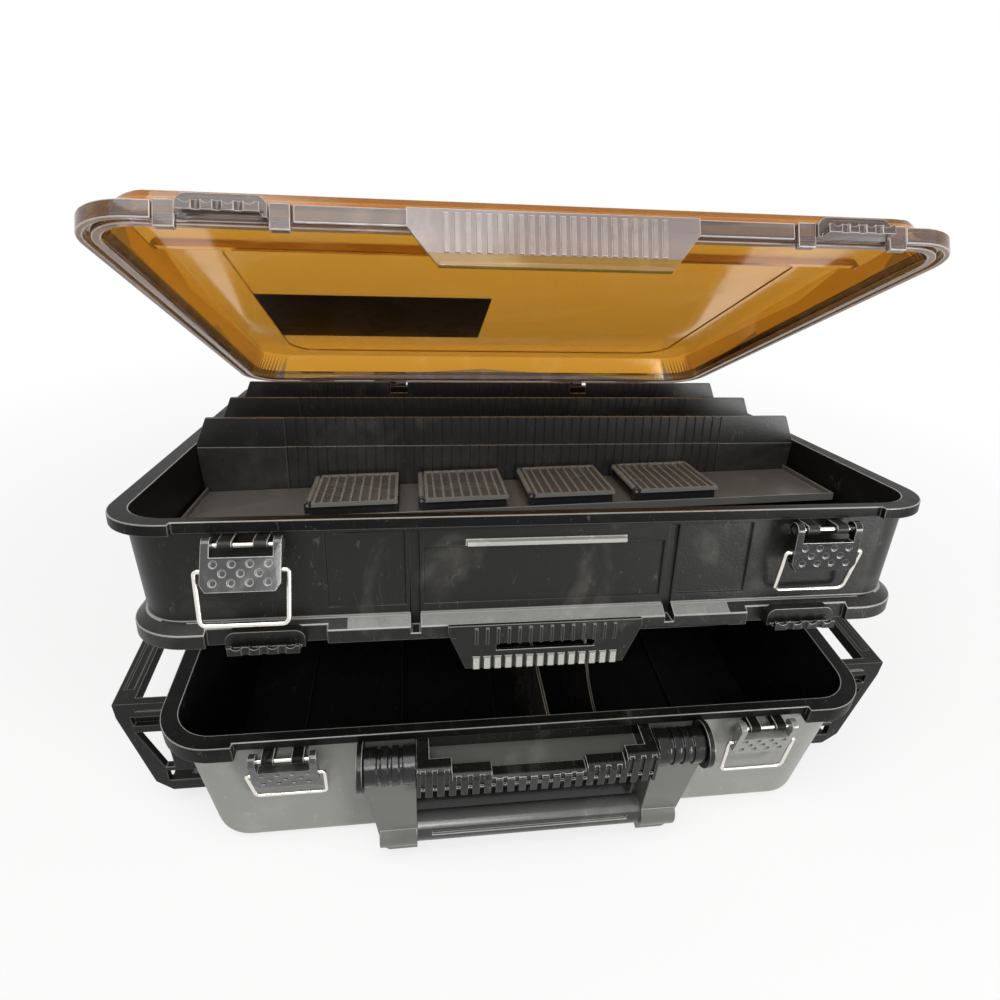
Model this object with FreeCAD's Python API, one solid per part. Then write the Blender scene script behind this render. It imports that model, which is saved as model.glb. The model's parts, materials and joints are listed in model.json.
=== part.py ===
import FreeCAD, Part
import math
import os

# Two-stage fishing tackle box, in millimetres.
# The origin is the centre of the tub's footprint on the floor, +X to the right, +Y to the back, +Z up.
# Each piece is drawn with the box closed and is then turned to the rest pose, both stages partly open.

# Driving sizes of the closed box
case_depth = 350.0           # front to back over every rim
tub_width = 420.0            # over the tub's rim lip
tub_height = 95.6            # floor to the tub's rim
upper_flare = 4.5            # upper case's rim past the tub's rim on each side
upper_height = 66.2          # tub's rim to the upper case's rim
lid_flare = 6.0              # lid's rim past the tub's rim on each side
lid_height = 24.0            # upper case's rim to the top of the lid
frame_reach = 30.0           # each side frame past the tub's rim
wall = 2.6                   # moulded wall of the cases
lid_wall = 2.5
stage_gap = 0.3              # air between a rim and the stage that closes on it

# Rest pose
upper_open = 10.57           # degrees that the upper case is open
lid_open = 21.42             # degrees that the lid is open from the upper case
tray_tilt = 1.5              # degrees that the tray's right end stands up

# Rims and walls
rim_overhang = 7.0           # the rim lip stands out this far from the wall
rim_lip = 6.0                # height of the rim lip
rim_radius = 32.0            # corner of the rims, seen from above
front_setback = 3.1          # the rim lip is this much shallower along the front
lip_end_inset = 44.0         # that shallower front ends this far in from the tub's sides
upper_lip_end_inset = 36.5   # the same on the upper case
tub_draft_x = 10.0           # how far each side wall of the tub leans in
tub_draft_y = 3.0
tub_corner_lip = 11.0        # height of the tub's rim lip round the two front corners
tub_floor = 3.0
foot_round = 9.0             # round along the tub's lower edge
upper_draft_y = 1.0
upper_floor = 2.6
flange_face = 7.5            # upright face of the upper case's bottom flange
flange_slope = 4.0           # sloped top of that flange
flange_top_step = 1.6        # ledge left where the slope meets the wall
keeper_gap = 58.0            # gap in the flange for a keeper
overrun = 1.0                # how far a cutting shape passes the face that it opens

# Hinges at the rear
hinge_offset = 4.5           # pin line behind the rear face of the rims
barrel_radius = 4.0
hinge_pin_radius = 1.5
running_clearance = 0.05     # radial play of everything that turns
knuckle_length = 12.0        # middle knuckle
side_knuckle_length = 9.0
knuckle_gap = 0.4
hinge_inner_x = 87.0
hinge_inset = 55.0           # outer hinges to the tub's sides

# Draw latches, measured from the rim that the latch hangs under
lower_latch_inset = 70.0     # middle of a latch to the side of its rim
upper_latch_inset = 69.0
rod_drop = 10.0              # rod below the rim
rod_standoff = 4.5           # rod in front of the shallow front
rod_radius = 1.25
lever_width = 36.0
lever_foot_width = 31.0
lever_length = 22.0          # rod to the lever's lower edge
lever_shoulder = 18.3        # rod to where the lever's corners are cut
lever_front = 4.0            # lever's face in front of the rod
lever_back = 0.5             # lever's back behind the rod
lever_neck = 6.0             # rod to the plate's upper edge
lever_eye_radius = 4.0
lever_eye_width = 4.0
hook_offset = 8.0            # the case's two rod hooks stand this far to each side
hook_width = 7.0
hook_radius = 2.6
dimple_radius = 1.6
dimple_depth = 0.8
dimple_pitch_x = 8.1
dimple_pitch_z = 4.25
dimple_top = 9.2             # rod to the upper row of dimples
bail_drop = 12.0             # rod to the bail's pivot
bail_pivot_front = 1.7       # the pivot stands this far in front of the rod
wire_radius = 1.2
bail_length = 26.0           # pivot to the bail's bar
bail_top_half = 21.0         # half the width at the pivots
bail_bar_half = 19.8         # half the width at the bar
bail_stub = 3.0              # how far the wire's end sits in the lever
bail_bend = 3.2
bail_end_bend = 1.6
latched_angle = 177.0        # degrees from hanging to latched
lower_lever_lean = 10.0      # degrees that the lower levers lean in at rest
lower_left_turn = 4.0        # degrees that the lower left bail is turned in on the lever
lower_right_turn = -8.0      # the same for the lower right bail
left_lever_open = 30.0       # degrees that the upper left lever stands out at rest
left_bail_turn = 20.0        # degrees that its bail is turned in on the lever
right_bail_turn = 15.0       # the same for the upper right bail

# Catches and keepers, which the bails hook over
catch_half = 17.0            # half the width of the scalloped lip
catch_back_half = 19.0
catch_lip = 2.2              # thickness of the lip
catch_seat_gap = 0.5         # air round the latched bar
catch_lip_rise = 3.0         # the lip stands this much above the seat
catch_back = 2.8             # thickness of the plate behind the bar
catch_height = 10.5          # rim to the top of that plate
catch_foot = 1.0             # rim to the catch's lower edge
catch_corner = 5.0
scallop_count = 4
scallop_radius = 2.6
flute_radius = 2.4
flute_depth = 0.9

# Front wall of the upper case
groove_x = 67.0
groove_width = 4.6
groove_depth = 1.3
panel_depth = 1.0
panel_margin = 2.5           # panel to the groove beside it
panel_rise = 5.0             # flange to the panel
panel_top_drop = 18.0        # rim to the middle panel
side_panel_top_drop = 9.0
side_panel_end = 110.0
ledge_half = 41.0            # light bar under the lid's skirt
ledge_height = 2.4
ledge_drop = 14.5            # rim to the bar's top
ledge_proud = 3.2

# Comb skirt under the upper case's flange
comb_top_half = 51.0
comb_bottom_half = 42.0
comb_plate = 2.4
comb_rise = 8.0              # how far it covers the flange
comb_drop = 17.0             # tub's rim to the skirt's lower edge
comb_teeth = 14
comb_pitch = 5.6
comb_tooth = 3.7
comb_tooth_height = 7.0
comb_rib = 1.5
comb_rib_proud = 1.1
comb_slot_half = 26.0
comb_slot_height = 4.0
comb_slot_rise = 10.4        # skirt's lower edge to the slot
comb_clearance = 1.6         # skirt to the handle base below it

# Partitions of the upper case
partition_front = 37.3       # front face of the first, in front of the middle
partition_pitch = 64.0
partition_plate = 3.0
partition_foot_extra = 1.0   # each face is this much thicker below the kink
partition_kink_drop = 2.0    # kink below the rim
partition_top = 17.2         # above the rim
partition_top_inset = 19.0   # their upper corners to the lid's sides
partition_side_gap = 0.6
slot_count = 48
slot_pitch = 6.3
slot_width = 1.5
slot_depth = 0.8
rear_notch_x = 77.0
rear_notch_width = 14.0
rear_notch_depth = 9.0

# Parts tray and its boxes, before the tray is tilted
tray_shelf = 31.5            # shelf's top below the upper rim, more on the left when tilted
tray_plate = 2.0
tray_lip = 3.0
tray_lip_thickness = 1.8
tray_end_gap = 1.8           # tray to the side walls
tray_side_gap = 1.0          # tray to the partition behind it
tray_depth = 61.0
rail_depth = 6.0             # ledges on the side walls that carry the tray
rail_height = 3.0
box_count = 4
box_pitch = 66.5
box_shift = 2.0              # the row of boxes stands this far left of the middle
box_width = 49.0
box_length = 52.0
box_wall = 1.4
box_depth = 17.0             # below the shelf
box_rise = 7.0               # above the shelf
box_flange = 1.2
box_flange_width = 2.0
box_fit = 0.2                # box to the opening in the tray
box_lid_plate = 1.4
box_lid_overlap = 1.2        # lid past the box on each side
box_lid_gap = 0.3
box_lid_rib_count = 8
box_lid_rib = 1.4
box_lid_rib_height = 0.8
box_lid_frame = 1.8
box_barrel_radius = 1.7
box_pin_radius = 0.9
box_ear = 2.6
box_ear_radius = 2.1
box_clip_width = 7.0
box_clip_drop = 3.6
box_clip = 1.1

# Handle and its base
pivot_standoff = 13.5        # pivot in front of the tub's front wall
pivot_drop = 14.4            # pivot below the tub's rim
knuckle_radius = 10.5
ear_radius = 13.6
ear_plate = 3.4
arm_outer_x = 96.5
arm_inner_x = 68.5
arm_side_gap = 0.4
arm_thickness = 12.5
handle_reach = 61.0          # pivot to the middle of the grip
handle_lean = 3.0            # degrees that the handle leans in at rest
arm_end_radius = 10.5
arm_foot = 13.0              # middle of the grip to the arms' lower edge
arm_taper = 6.0              # the arms' outer faces lean in by this much
arm_corner = 5.0             # slope at the arms' lower outer corner
grip_radius = 8.5
grip_core_radius = 4.5
grip_groove = 2.0
grip_groove_depth = 0.9
grip_groove_offset = 3.4
grip_groove_end = 9.0
handle_pin_radius = 3.0
ring_count = 3
ring_width = 2.2
ring_depth = 1.3
ring_pitch = 6.0
ring_start = 8.0             # arm's outer face to the first ring
base_front = 25.0            # handle base in front of the front wall
base_nose = 4.0              # round along the top of the front ribs
base_foot_drop = 29.0        # tub's rim to the base's underside
base_wall = 9.0              # thickness of the ribbed front
base_end_drop = 7.6          # tub's rim to the top of the ribbed front's ends
base_step_drop = 13.4        # to the top of its lower steps
base_end_x = 61.0            # the solid end blocks begin here
base_step_x = 49.0
base_middle_x = 26.7
base_tooth_count = 21
base_tooth_gap = 2.4
base_tooth_depth = 4.0
base_tooth_height = 5.0
base_rib_gap = 2.2
base_rib_depth = 1.4
ear_web = 7.0                # web that carries the ear disc

# Side frames
frame_half_y = 137.0
frame_plate = 5.0            # thickness of the two end plates
frame_rail = 12.0            # width of the upper rail, and of the lower one
frame_top_drop = 3.0         # tub's rim to the frame's top
frame_foot = 15.0            # floor to the frame's lowest edge
frame_lean_share = 0.35      # the lower corner stands in by this share of the reach
frame_rail_height = 8.0
frame_channel = 5.0          # shallow channel along the top of the upper rail
frame_channel_depth = 1.2
frame_top_bar = 11.0
frame_slot = 7.0             # recess between the two upper bars
frame_slot_depth = 3.0
frame_second_bar = 6.0
frame_post_share = 0.28      # outer upright of the end plates
frame_web_share = 0.2        # web between the window and the tub's rim
frame_low_bar = 9.0
frame_low_window = 9.0
frame_mid_bar = 3.5
frame_corner = 9.0           # round at the lower outer corner
frame_bead = 1.8             # groove along the upper bar

# Floor rails and dividers of the tub
floor_rail_pitch = 68.5
floor_rail_reach = 146.5     # first rail to the middle
floor_rail_count = 5
floor_rail = 1.2
floor_rail_height = 3.0
divider_plate = 1.8
divider_x = 10.0
second_divider_x = 48.0
divider_drop = 9.0           # tub's rim to the divider's top
divider_gap = 0.4
divider_sweep = 55.0         # radius of the curved corner
divider_clip = 5.0

# Lid
lid_rim_height = 8.0
lid_rim_width = 7.5
lid_slope_side = 8.0
lid_slope_front = 7.0
lid_top_round = 3.0          # round along the top of the lid
lid_front_height = 18.4      # upper case's rim to the top of the lid's lower front band
lid_step_reach = 101.0       # inner face of the step behind that band, in front of the middle
lid_step_slope = 3.0
lid_gap_half = 29.2          # the rim is set back this far to each side of a catch
lid_gap_depth = 2.4
lid_groove_inset = 3.0       # groove under the lid's rim
lid_groove_width = 3.0
lid_groove_depth = 3.0
lid_panel_inset = 46.0       # panel pressed into the lid, to the lid's sides
lid_panel_front = 104.0
lid_panel_back = 138.0
lid_panel_depth = 0.8
lid_panel_radius = 24.0
label_left = 170.0
label_right = 10.0           # left of the middle too
label_front = 12.0
label_back = 90.0
label_plate = 0.4
skirt_top_half = 68.0
skirt_bottom_half = 54.0
skirt_plate = 2.2
skirt_rise = 9.6             # above the upper rim
skirt_drop = 18.0            # below the upper rim
skirt_rib_count = 22
skirt_rib_pitch = 4.8
skirt_rib = 2.0
skirt_rib_proud = 0.9
skirt_lip = 6.4              # clear band below the ribs
skirt_lip_proud = 1.6
post_offset = 23.7           # small posts beside each lid catch
post_width = 9.0
post_proud = 1.2
post_drop = 4.0              # they hang this far below the lid

# Values worked out from those above
front = -case_depth / 2
back = case_depth / 2
rim_front = front + front_setback
upper_width = tub_width + 2 * upper_flare
lid_width = tub_width + 2 * lid_flare
frame_width = tub_width + 2 * frame_reach
lip_end = tub_width / 2 - lip_end_inset
upper_lip_end = upper_width / 2 - upper_lip_end_inset
hinge_outer_x = tub_width / 2 - hinge_inset
lower_latch_x = tub_width / 2 - lower_latch_inset
upper_latch_x = upper_width / 2 - upper_latch_inset
partition_top_half = lid_width / 2 - partition_top_inset
hinge_y = back + hinge_offset
upper_base = tub_height + stage_gap
upper_rim = tub_height + upper_height
lid_base = upper_rim + stage_gap
lid_top = upper_rim + lid_height
tub_rim_x = tub_width / 2 - rim_overhang
rim_y = case_depth / 2 - rim_overhang
upper_rim_x = upper_width / 2 - rim_overhang
wall_radius = rim_radius - rim_overhang
upper_foot_y = rim_y - upper_draft_y
flange_height = flange_face + flange_slope
upper_floor_top = upper_base + upper_floor
rod_y = rim_front - rod_standoff
bail_y = rod_y - bail_pivot_front
latch_swing = math.radians(latched_angle)
bar_rise = -rod_drop - bail_drop - bail_length * math.cos(latch_swing)
bar_y = bail_y - bail_length * math.sin(latch_swing)
seat_rise = bar_rise - wire_radius - catch_seat_gap
catch_lip_back = bar_y - wire_radius - catch_seat_gap
catch_lip_front = catch_lip_back - catch_lip
hinge_places = (-hinge_outer_x, -hinge_inner_x, hinge_inner_x, hinge_outer_x)
pivot_y = -rim_y - pivot_standoff
pivot_z = tub_height - pivot_drop
shelf_z = upper_rim - tray_shelf
tray_back = -partition_front - partition_foot_extra - tray_side_gap
tray_front = tray_back - tray_depth

x_axis = FreeCAD.Vector(1, 0, 0)
y_axis = FreeCAD.Vector(0, 1, 0)
centre = FreeCAD.Vector(0, 0, 0)


def vec(x, y, z):
    return FreeCAD.Vector(x, y, z)


def slab(x0, x1, y0, y1, z0, z1):
    return Part.makeBox(x1 - x0, y1 - y0, z1 - z0, vec(x0, y0, z0))


def rod_x(x0, x1, y, z, radius):
    return Part.makeCylinder(radius, x1 - x0, vec(x0, y, z), x_axis)


def rod_y_way(y0, y1, x, z, radius):
    return Part.makeCylinder(radius, y1 - y0, vec(x, y0, z), y_axis)


def join(shapes):
    first = shapes[0]
    return first.fuse(shapes[1:]).removeSplitter() if len(shapes) > 1 else first


def prism(points, run):
    face = Part.Face(Part.makePolygon(points + points[:1]))
    return face.extrude(run)


def prism_x(outline, x0, x1):
    """Outline of (y, z) pairs, drawn out from x0 to x1."""
    return prism([vec(x0, y, z) for y, z in outline], vec(x1 - x0, 0, 0))


def prism_y(outline, y0, y1):
    """Outline of (x, z) pairs, drawn out from y0 to y1."""
    return prism([vec(x, y0, z) for x, z in outline], vec(0, y1 - y0, 0))


def rounded_wire(half_x, half_y, radius, z):
    """A rectangle with round corners, level at height z."""
    inner_x = half_x - radius
    inner_y = half_y - radius
    diagonal = radius * math.sqrt(0.5)
    edges = []
    for turn_x, turn_y, first_along_x in ((1, 1, False), (-1, 1, True), (-1, -1, False), (1, -1, True)):
        corner = vec(turn_x * inner_x, turn_y * inner_y, z)
        side = corner + vec(turn_x * radius, 0, 0)
        end = corner + vec(0, turn_y * radius, 0)
        middle = corner + vec(turn_x * diagonal, turn_y * diagonal, 0)
        start, finish = (end, side) if first_along_x else (side, end)
        edges.append((start, middle, finish))
    parts = []
    for index, (start, middle, finish) in enumerate(edges):
        parts.append(Part.Arc(start, middle, finish).toShape())
        following = edges[(index + 1) % len(edges)][0]
        parts.append(Part.LineSegment(finish, following).toShape())
    return Part.Wire(parts)


def taper(lower, upper):
    """A solid between two rounded rectangles, each given as half x, half y, corner radius and height."""
    return Part.makeLoft([rounded_wire(*lower), rounded_wire(*upper)], True, True)


def between(low, high, share):
    return low + (high - low) * share


def rounded_path(points, radii):
    """A wire through the points, with each inner corner rounded by a tangent arc."""
    edges = []
    last = points[0]
    for index in range(1, len(points) - 1):
        corner = points[index]
        back_way = (points[index - 1] - corner).normalize()
        on_way = (points[index + 1] - corner).normalize()
        half_turn = back_way.getAngle(on_way) / 2
        reach = radii[index - 1] / math.tan(half_turn)
        bisector = (back_way + on_way).normalize()
        mid = corner + bisector * (radii[index - 1] / math.sin(half_turn) - radii[index - 1])
        start = corner + back_way * reach
        finish = corner + on_way * reach
        edges.append(Part.LineSegment(last, start).toShape())
        edges.append(Part.Arc(start, mid, finish).toShape())
        last = finish
    edges.append(Part.LineSegment(last, points[-1]).toShape())
    return Part.Wire(edges)


def knuckles(places, length, z, root_z0, root_z1, offsets, bore):
    """Hinge knuckles at the rear, each a barrel with a root that reaches the rim."""
    made = []
    for place in places:
        for offset in offsets:
            x0 = place + offset - length / 2
            x1 = x0 + length
            barrel = rod_x(x0, x1, hinge_y, z, barrel_radius)
            root = slab(x0, x1, back - overrun, hinge_y, root_z0, root_z1)
            hole = rod_x(x0 - overrun, x1 + overrun, hinge_y, z, bore)
            made.append(barrel.fuse(root).cut(hole))
    return made


def middle_knuckles(z):
    """The fixed knuckles, on the rim below the hinge line."""
    return knuckles(hinge_places, knuckle_length, z, z - barrel_radius, z, (0,), hinge_pin_radius)


def side_knuckles(z):
    """The turning knuckles, one on each side of a fixed one."""
    reach = knuckle_length / 2 + knuckle_gap + side_knuckle_length / 2
    low = z + stage_gap
    bore = hinge_pin_radius + running_clearance
    return knuckles(hinge_places, side_knuckle_length, z, low, low + barrel_radius, (-reach, reach), bore)


def hinge_pins(z):
    half = knuckle_length / 2 + knuckle_gap + side_knuckle_length
    pins = [rod_x(place - half, place + half, hinge_y, z, hinge_pin_radius) for place in hinge_places]
    return Part.makeCompound(pins)


def latch_hooks(place, rim):
    """The two arms on a case that hold a latch rod."""
    made = []
    for side in (-1, 1):
        x0 = place + side * hook_offset - hook_width / 2
        x1 = x0 + hook_width
        z = rim - rod_drop
        nose = rod_x(x0, x1, rod_y, z, hook_radius)
        arm = slab(x0, x1, rod_y, -rim_y + wall / 2, z - hook_radius, z + hook_radius)
        hole = rod_x(x0 - overrun, x1 + overrun, rod_y, z, rod_radius)
        made.append(nose.fuse(arm).cut(hole))
    return made


def front_cut(rim, end):
    """Takes the rim lip back along the front, between the two corner lips."""
    return slab(-end, end, front - overrun, rim_front, rim - rim_lip - overrun, rim + overrun)


def plate(half_x, half_y, radius, z0, z1):
    """A rounded rectangle drawn up from z0 to z1."""
    return Part.Face(rounded_wire(half_x, half_y, radius, z0)).extrude(vec(0, 0, z1 - z0))


def hollow(foot_x, foot_y, rim_x, z0, z1, floor):
    """The inside of a case whose walls lean between its foot and its rim."""
    share = floor / (z1 - z0)
    low_x = between(foot_x, rim_x, share) - wall
    low_y = between(foot_y, rim_y, share) - wall
    inner_radius = wall_radius - wall
    return taper((low_x, low_y, inner_radius, z0 + floor), (rim_x - wall, rim_y - wall, inner_radius, z1))


def tub_outer():
    foot_x = tub_rim_x - tub_draft_x
    foot_y = rim_y - tub_draft_y
    body = taper((foot_x, foot_y, wall_radius, 0), (tub_rim_x, rim_y, wall_radius, tub_height))
    lip = plate(tub_width / 2, case_depth / 2, rim_radius, tub_height - rim_lip, tub_height)
    corners = plate(tub_width / 2, case_depth / 2, rim_radius, tub_height - tub_corner_lip, tub_height)
    between_corners = slab(-lip_end, lip_end, front, back, tub_height - tub_corner_lip, tub_height)
    behind = slab(-tub_width / 2, tub_width / 2, front + rim_radius, back, tub_height - tub_corner_lip, tub_height)
    return body, lip.cut(front_cut(tub_height, lip_end)).fuse(corners.cut([between_corners, behind]))


def tub_shell():
    body, lip = tub_outer()
    lowest = [edge for edge in body.Edges if edge.BoundBox.ZMax < foot_round]
    body = body.makeFillet(foot_round, lowest)
    foot_x = tub_rim_x - tub_draft_x
    foot_y = rim_y - tub_draft_y
    shell = body.fuse(lip).cut(hollow(foot_x, foot_y, tub_rim_x, 0, tub_height, tub_floor))
    additions = middle_knuckles(tub_height)
    for side in (-1, 1):
        additions += latch_hooks(side * lower_latch_x, tub_height)
    rail_half = foot_y - wall - foot_round
    for index in range(floor_rail_count):
        x = index * floor_rail_pitch - floor_rail_reach
        low = tub_floor - wall / 2
        rail = slab(x - floor_rail / 2, x + floor_rail / 2, -rail_half, rail_half,
                    low, tub_floor + floor_rail_height)
        additions.append(rail)
    return join([shell] + additions)


def side_frame():
    """The left carrying frame: two pierced end plates joined by an upper and a lower rail."""
    top = tub_height - frame_top_drop
    outer = -frame_width / 2
    low_outer = outer + frame_lean_share * frame_reach
    reach = -(tub_rim_x - tub_draft_x - wall)
    low_top = frame_foot + frame_low_bar
    window_top = low_top + frame_low_window
    mid_top = window_top + frame_mid_bar
    slot_top = top - frame_top_bar
    second_top = slot_top - frame_slot
    second_foot = second_top - frame_second_bar
    outline = [
        (outer, top), (outer, slot_top), (low_outer, frame_foot + frame_corner),
        (low_outer + frame_corner, frame_foot), (reach, frame_foot), (reach, top),
    ]
    web = -tub_width / 2 - frame_web_share * frame_reach
    face = -frame_half_y
    sheet = prism_y(outline, face, face + frame_plate)
    y0 = face - overrun
    y1 = face + frame_plate + overrun
    post = outer + frame_post_share * frame_reach
    low_post = low_outer + frame_post_share * frame_reach
    side_window = prism_y([(post, second_foot), (low_post, mid_top), (web, mid_top), (web, second_foot)], y0, y1)
    low_window = slab(low_post, -tub_rim_x + tub_draft_x, y0, y1, low_top, window_top)
    recess = slab(post, -tub_width / 2, y0, face + frame_slot_depth, second_top, slot_top)
    bead_middle = (top + slot_top) / 2
    bead = slab(outer + frame_bead, -tub_width / 2, y0, face + frame_bead / 2,
                bead_middle - frame_bead / 2, bead_middle + frame_bead / 2)
    sheet = sheet.cut([side_window, low_window, recess, bead])
    other = sheet.mirror(centre, y_axis)
    upper_rail = slab(outer, outer + frame_rail, face, -face, top - frame_rail_height, top)
    inset = (frame_rail - frame_channel) / 2
    channel = slab(outer + inset, outer + inset + frame_channel, face + frame_rail, -face - frame_rail,
                   top - frame_channel_depth, top + overrun)
    lower_rail = slab(low_outer + frame_corner, low_outer + frame_corner + frame_rail, face + frame_plate / 2,
                      -face - frame_plate / 2, frame_foot, low_top)
    body, lip = tub_outer()
    frame = join([sheet, other, upper_rail, lower_rail])
    return frame.cut([body, lip, channel])


def divider_outline(top):
    foot_y = rim_y - tub_draft_y
    low = between(foot_y, rim_y, tub_floor / tub_height) - wall - divider_gap
    high = between(foot_y, rim_y, top / tub_height) - wall - divider_gap
    return [(-low, tub_floor), (low, tub_floor), (high, top), (-high, top)]


def first_divider():
    top = tub_height - divider_drop
    return prism_x(divider_outline(top), divider_x - divider_plate / 2, divider_x + divider_plate / 2)


def second_divider():
    """Like the first, with a curved front corner and a small clip at the front wall."""
    top = tub_height - divider_drop
    x0 = second_divider_x - divider_plate / 2
    x1 = x0 + divider_plate
    sheet = prism_x(divider_outline(top), x0, x1)
    sweep_y = -rim_y + divider_sweep / 2
    sheet = sheet.cut(rod_x(x0 - overrun, x1 + overrun, sweep_y, top + divider_sweep / 2, divider_sweep))
    clip_y = -rim_y + tub_draft_y + wall + divider_gap
    clip = slab(x0 - divider_clip / 2, x1 + divider_clip / 2, clip_y, clip_y + divider_clip,
                top - divider_sweep - divider_clip, top - divider_sweep / 2)
    return join([sheet, clip])


def handle_base():
    """The ribbed block between the arms, with a gap behind its stepped front for the comb skirt."""
    block_front = -rim_y - base_front
    foot = tub_height - base_foot_drop
    inner = -rim_y + wall / 2
    end_x = arm_inner_x - arm_side_gap
    low_top = tub_height - comb_drop - comb_clearance
    end_top = tub_height - base_end_drop
    pieces = [slab(-end_x, end_x, block_front, inner, foot, low_top)]
    steps = [(-end_x, -base_step_x, end_top), (-base_step_x, -base_middle_x, tub_height - base_step_drop),
             (-base_middle_x, base_middle_x, low_top + base_rib_depth),
             (base_middle_x, base_step_x, tub_height - base_step_drop), (base_step_x, end_x, end_top)]
    for x0, x1, top in steps:
        block = slab(x0, x1, block_front, block_front + base_wall, foot, top)
        nose = [edge for edge in block.Edges
                if edge.BoundBox.YMax < block_front + overrun and edge.BoundBox.ZMin > top - overrun]
        pieces.append(block.makeFillet(base_nose, nose))
    for side in (-1, 1):
        x0, x1 = sorted((side * base_end_x, side * end_x))
        pieces.append(slab(x0, x1, block_front + base_nose, inner, foot, end_top))
    cutters = []
    pitch = 2 * end_x / base_tooth_count
    for index in range(base_tooth_count):
        x = (index - (base_tooth_count - 1) / 2) * pitch
        cutters.append(slab(x - base_tooth_gap / 2, x + base_tooth_gap / 2, block_front - overrun,
                            block_front + base_tooth_depth, foot - overrun, foot + base_tooth_height))
        cutters.append(slab(x - base_rib_gap / 2, x + base_rib_gap / 2, block_front - overrun,
                            block_front + base_rib_depth, foot + base_tooth_height + base_rib_depth,
                            tub_height))
    ears = []
    holes = []
    for side in (-1, 1):
        x0, x1 = sorted((side * (arm_outer_x + arm_side_gap), side * (arm_outer_x + arm_side_gap + ear_plate)))
        disc = rod_x(x0, x1, pivot_y, pivot_z, ear_radius)
        web = slab(x0, x1, pivot_y, inner, pivot_z - ear_web, pivot_z + ear_web)
        ears.append(disc.fuse(web))
        holes.append(handle_pin(side))
    tub_body, lip = tub_outer()
    cutters += [tub_body, lip] + holes
    solids = join(pieces).cut(cutters).Solids
    for ear in ears:
        solids += ear.cut([tub_body, lip] + holes).Solids
    return Part.makeCompound(solids)


def handle_pin(side):
    x0, x1 = sorted((side * (base_end_x + overrun), side * (arm_outer_x + arm_side_gap + ear_plate)))
    return rod_x(x0, x1, pivot_y, pivot_z, handle_pin_radius)


def grip_z():
    return pivot_z - handle_reach


def handle_arm(side):
    x0, x1 = sorted((side * arm_inner_x, side * arm_outer_x))
    barrel = rod_x(x0, x1, pivot_y, pivot_z, knuckle_radius)
    rings = []
    for index in range(ring_count):
        middle = side * (arm_outer_x - ring_start - index * ring_pitch)
        r0 = middle - ring_width / 2
        ring = rod_x(r0, r0 + ring_width, pivot_y, pivot_z, knuckle_radius + overrun)
        rings.append(ring.cut(rod_x(r0, r0 + ring_width, pivot_y, pivot_z, knuckle_radius - ring_depth)))
    low_x = arm_outer_x - arm_taper
    foot = grip_z() - arm_foot
    outline = [(side * arm_inner_x, foot), (side * arm_inner_x, pivot_z), (side * arm_outer_x, pivot_z),
               (side * arm_outer_x, pivot_z - knuckle_radius), (side * low_x, grip_z()),
               (side * low_x, foot + arm_corner), (side * (low_x - arm_corner), foot)]
    strap = prism_y(outline, pivot_y - arm_thickness / 2, pivot_y + arm_thickness / 2)
    strap = strap.cut(rod_x(x0, x1, pivot_y, pivot_z, knuckle_radius - ring_depth))
    x0, x1 = sorted((side * arm_inner_x, side * low_x))
    end = rod_x(x0, x1, pivot_y, grip_z(), arm_end_radius)
    lower = strap.fuse(end)
    return join([barrel.cut(rings), lower])


def handle_frame():
    core = rod_x(-arm_inner_x, arm_inner_x, pivot_y, grip_z(), grip_core_radius)
    bore = rod_x(-frame_width, frame_width, pivot_y, pivot_z, handle_pin_radius + running_clearance)
    return join([handle_arm(-1), handle_arm(1), core]).cut(bore)


def handle_grip():
    bar = rod_x(-arm_inner_x, arm_inner_x, pivot_y, grip_z(), grip_radius)
    bar = bar.cut(rod_x(-arm_inner_x, arm_inner_x, pivot_y, grip_z(), grip_core_radius))
    half = arm_inner_x - grip_groove_end
    cutters = []
    for rise in (-grip_groove_offset, grip_groove_offset):
        z = grip_z() + rise
        cutters.append(slab(-half, half, pivot_y - grip_radius - overrun,
                            pivot_y - grip_radius + grip_groove_depth + grip_groove / 2,
                            z - grip_groove / 2, z + grip_groove / 2))
    return bar.cut(cutters)


def wall_face(z):
    """Front face of the upper case's wall at height z."""
    return -between(upper_foot_y, rim_y, (z - upper_base) / (upper_rim - upper_base))


def inner_half(z):
    """Half the inside width of the upper case at height z."""
    return between(tub_rim_x, upper_rim_x, (z - upper_base) / (upper_rim - upper_base)) - wall


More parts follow.
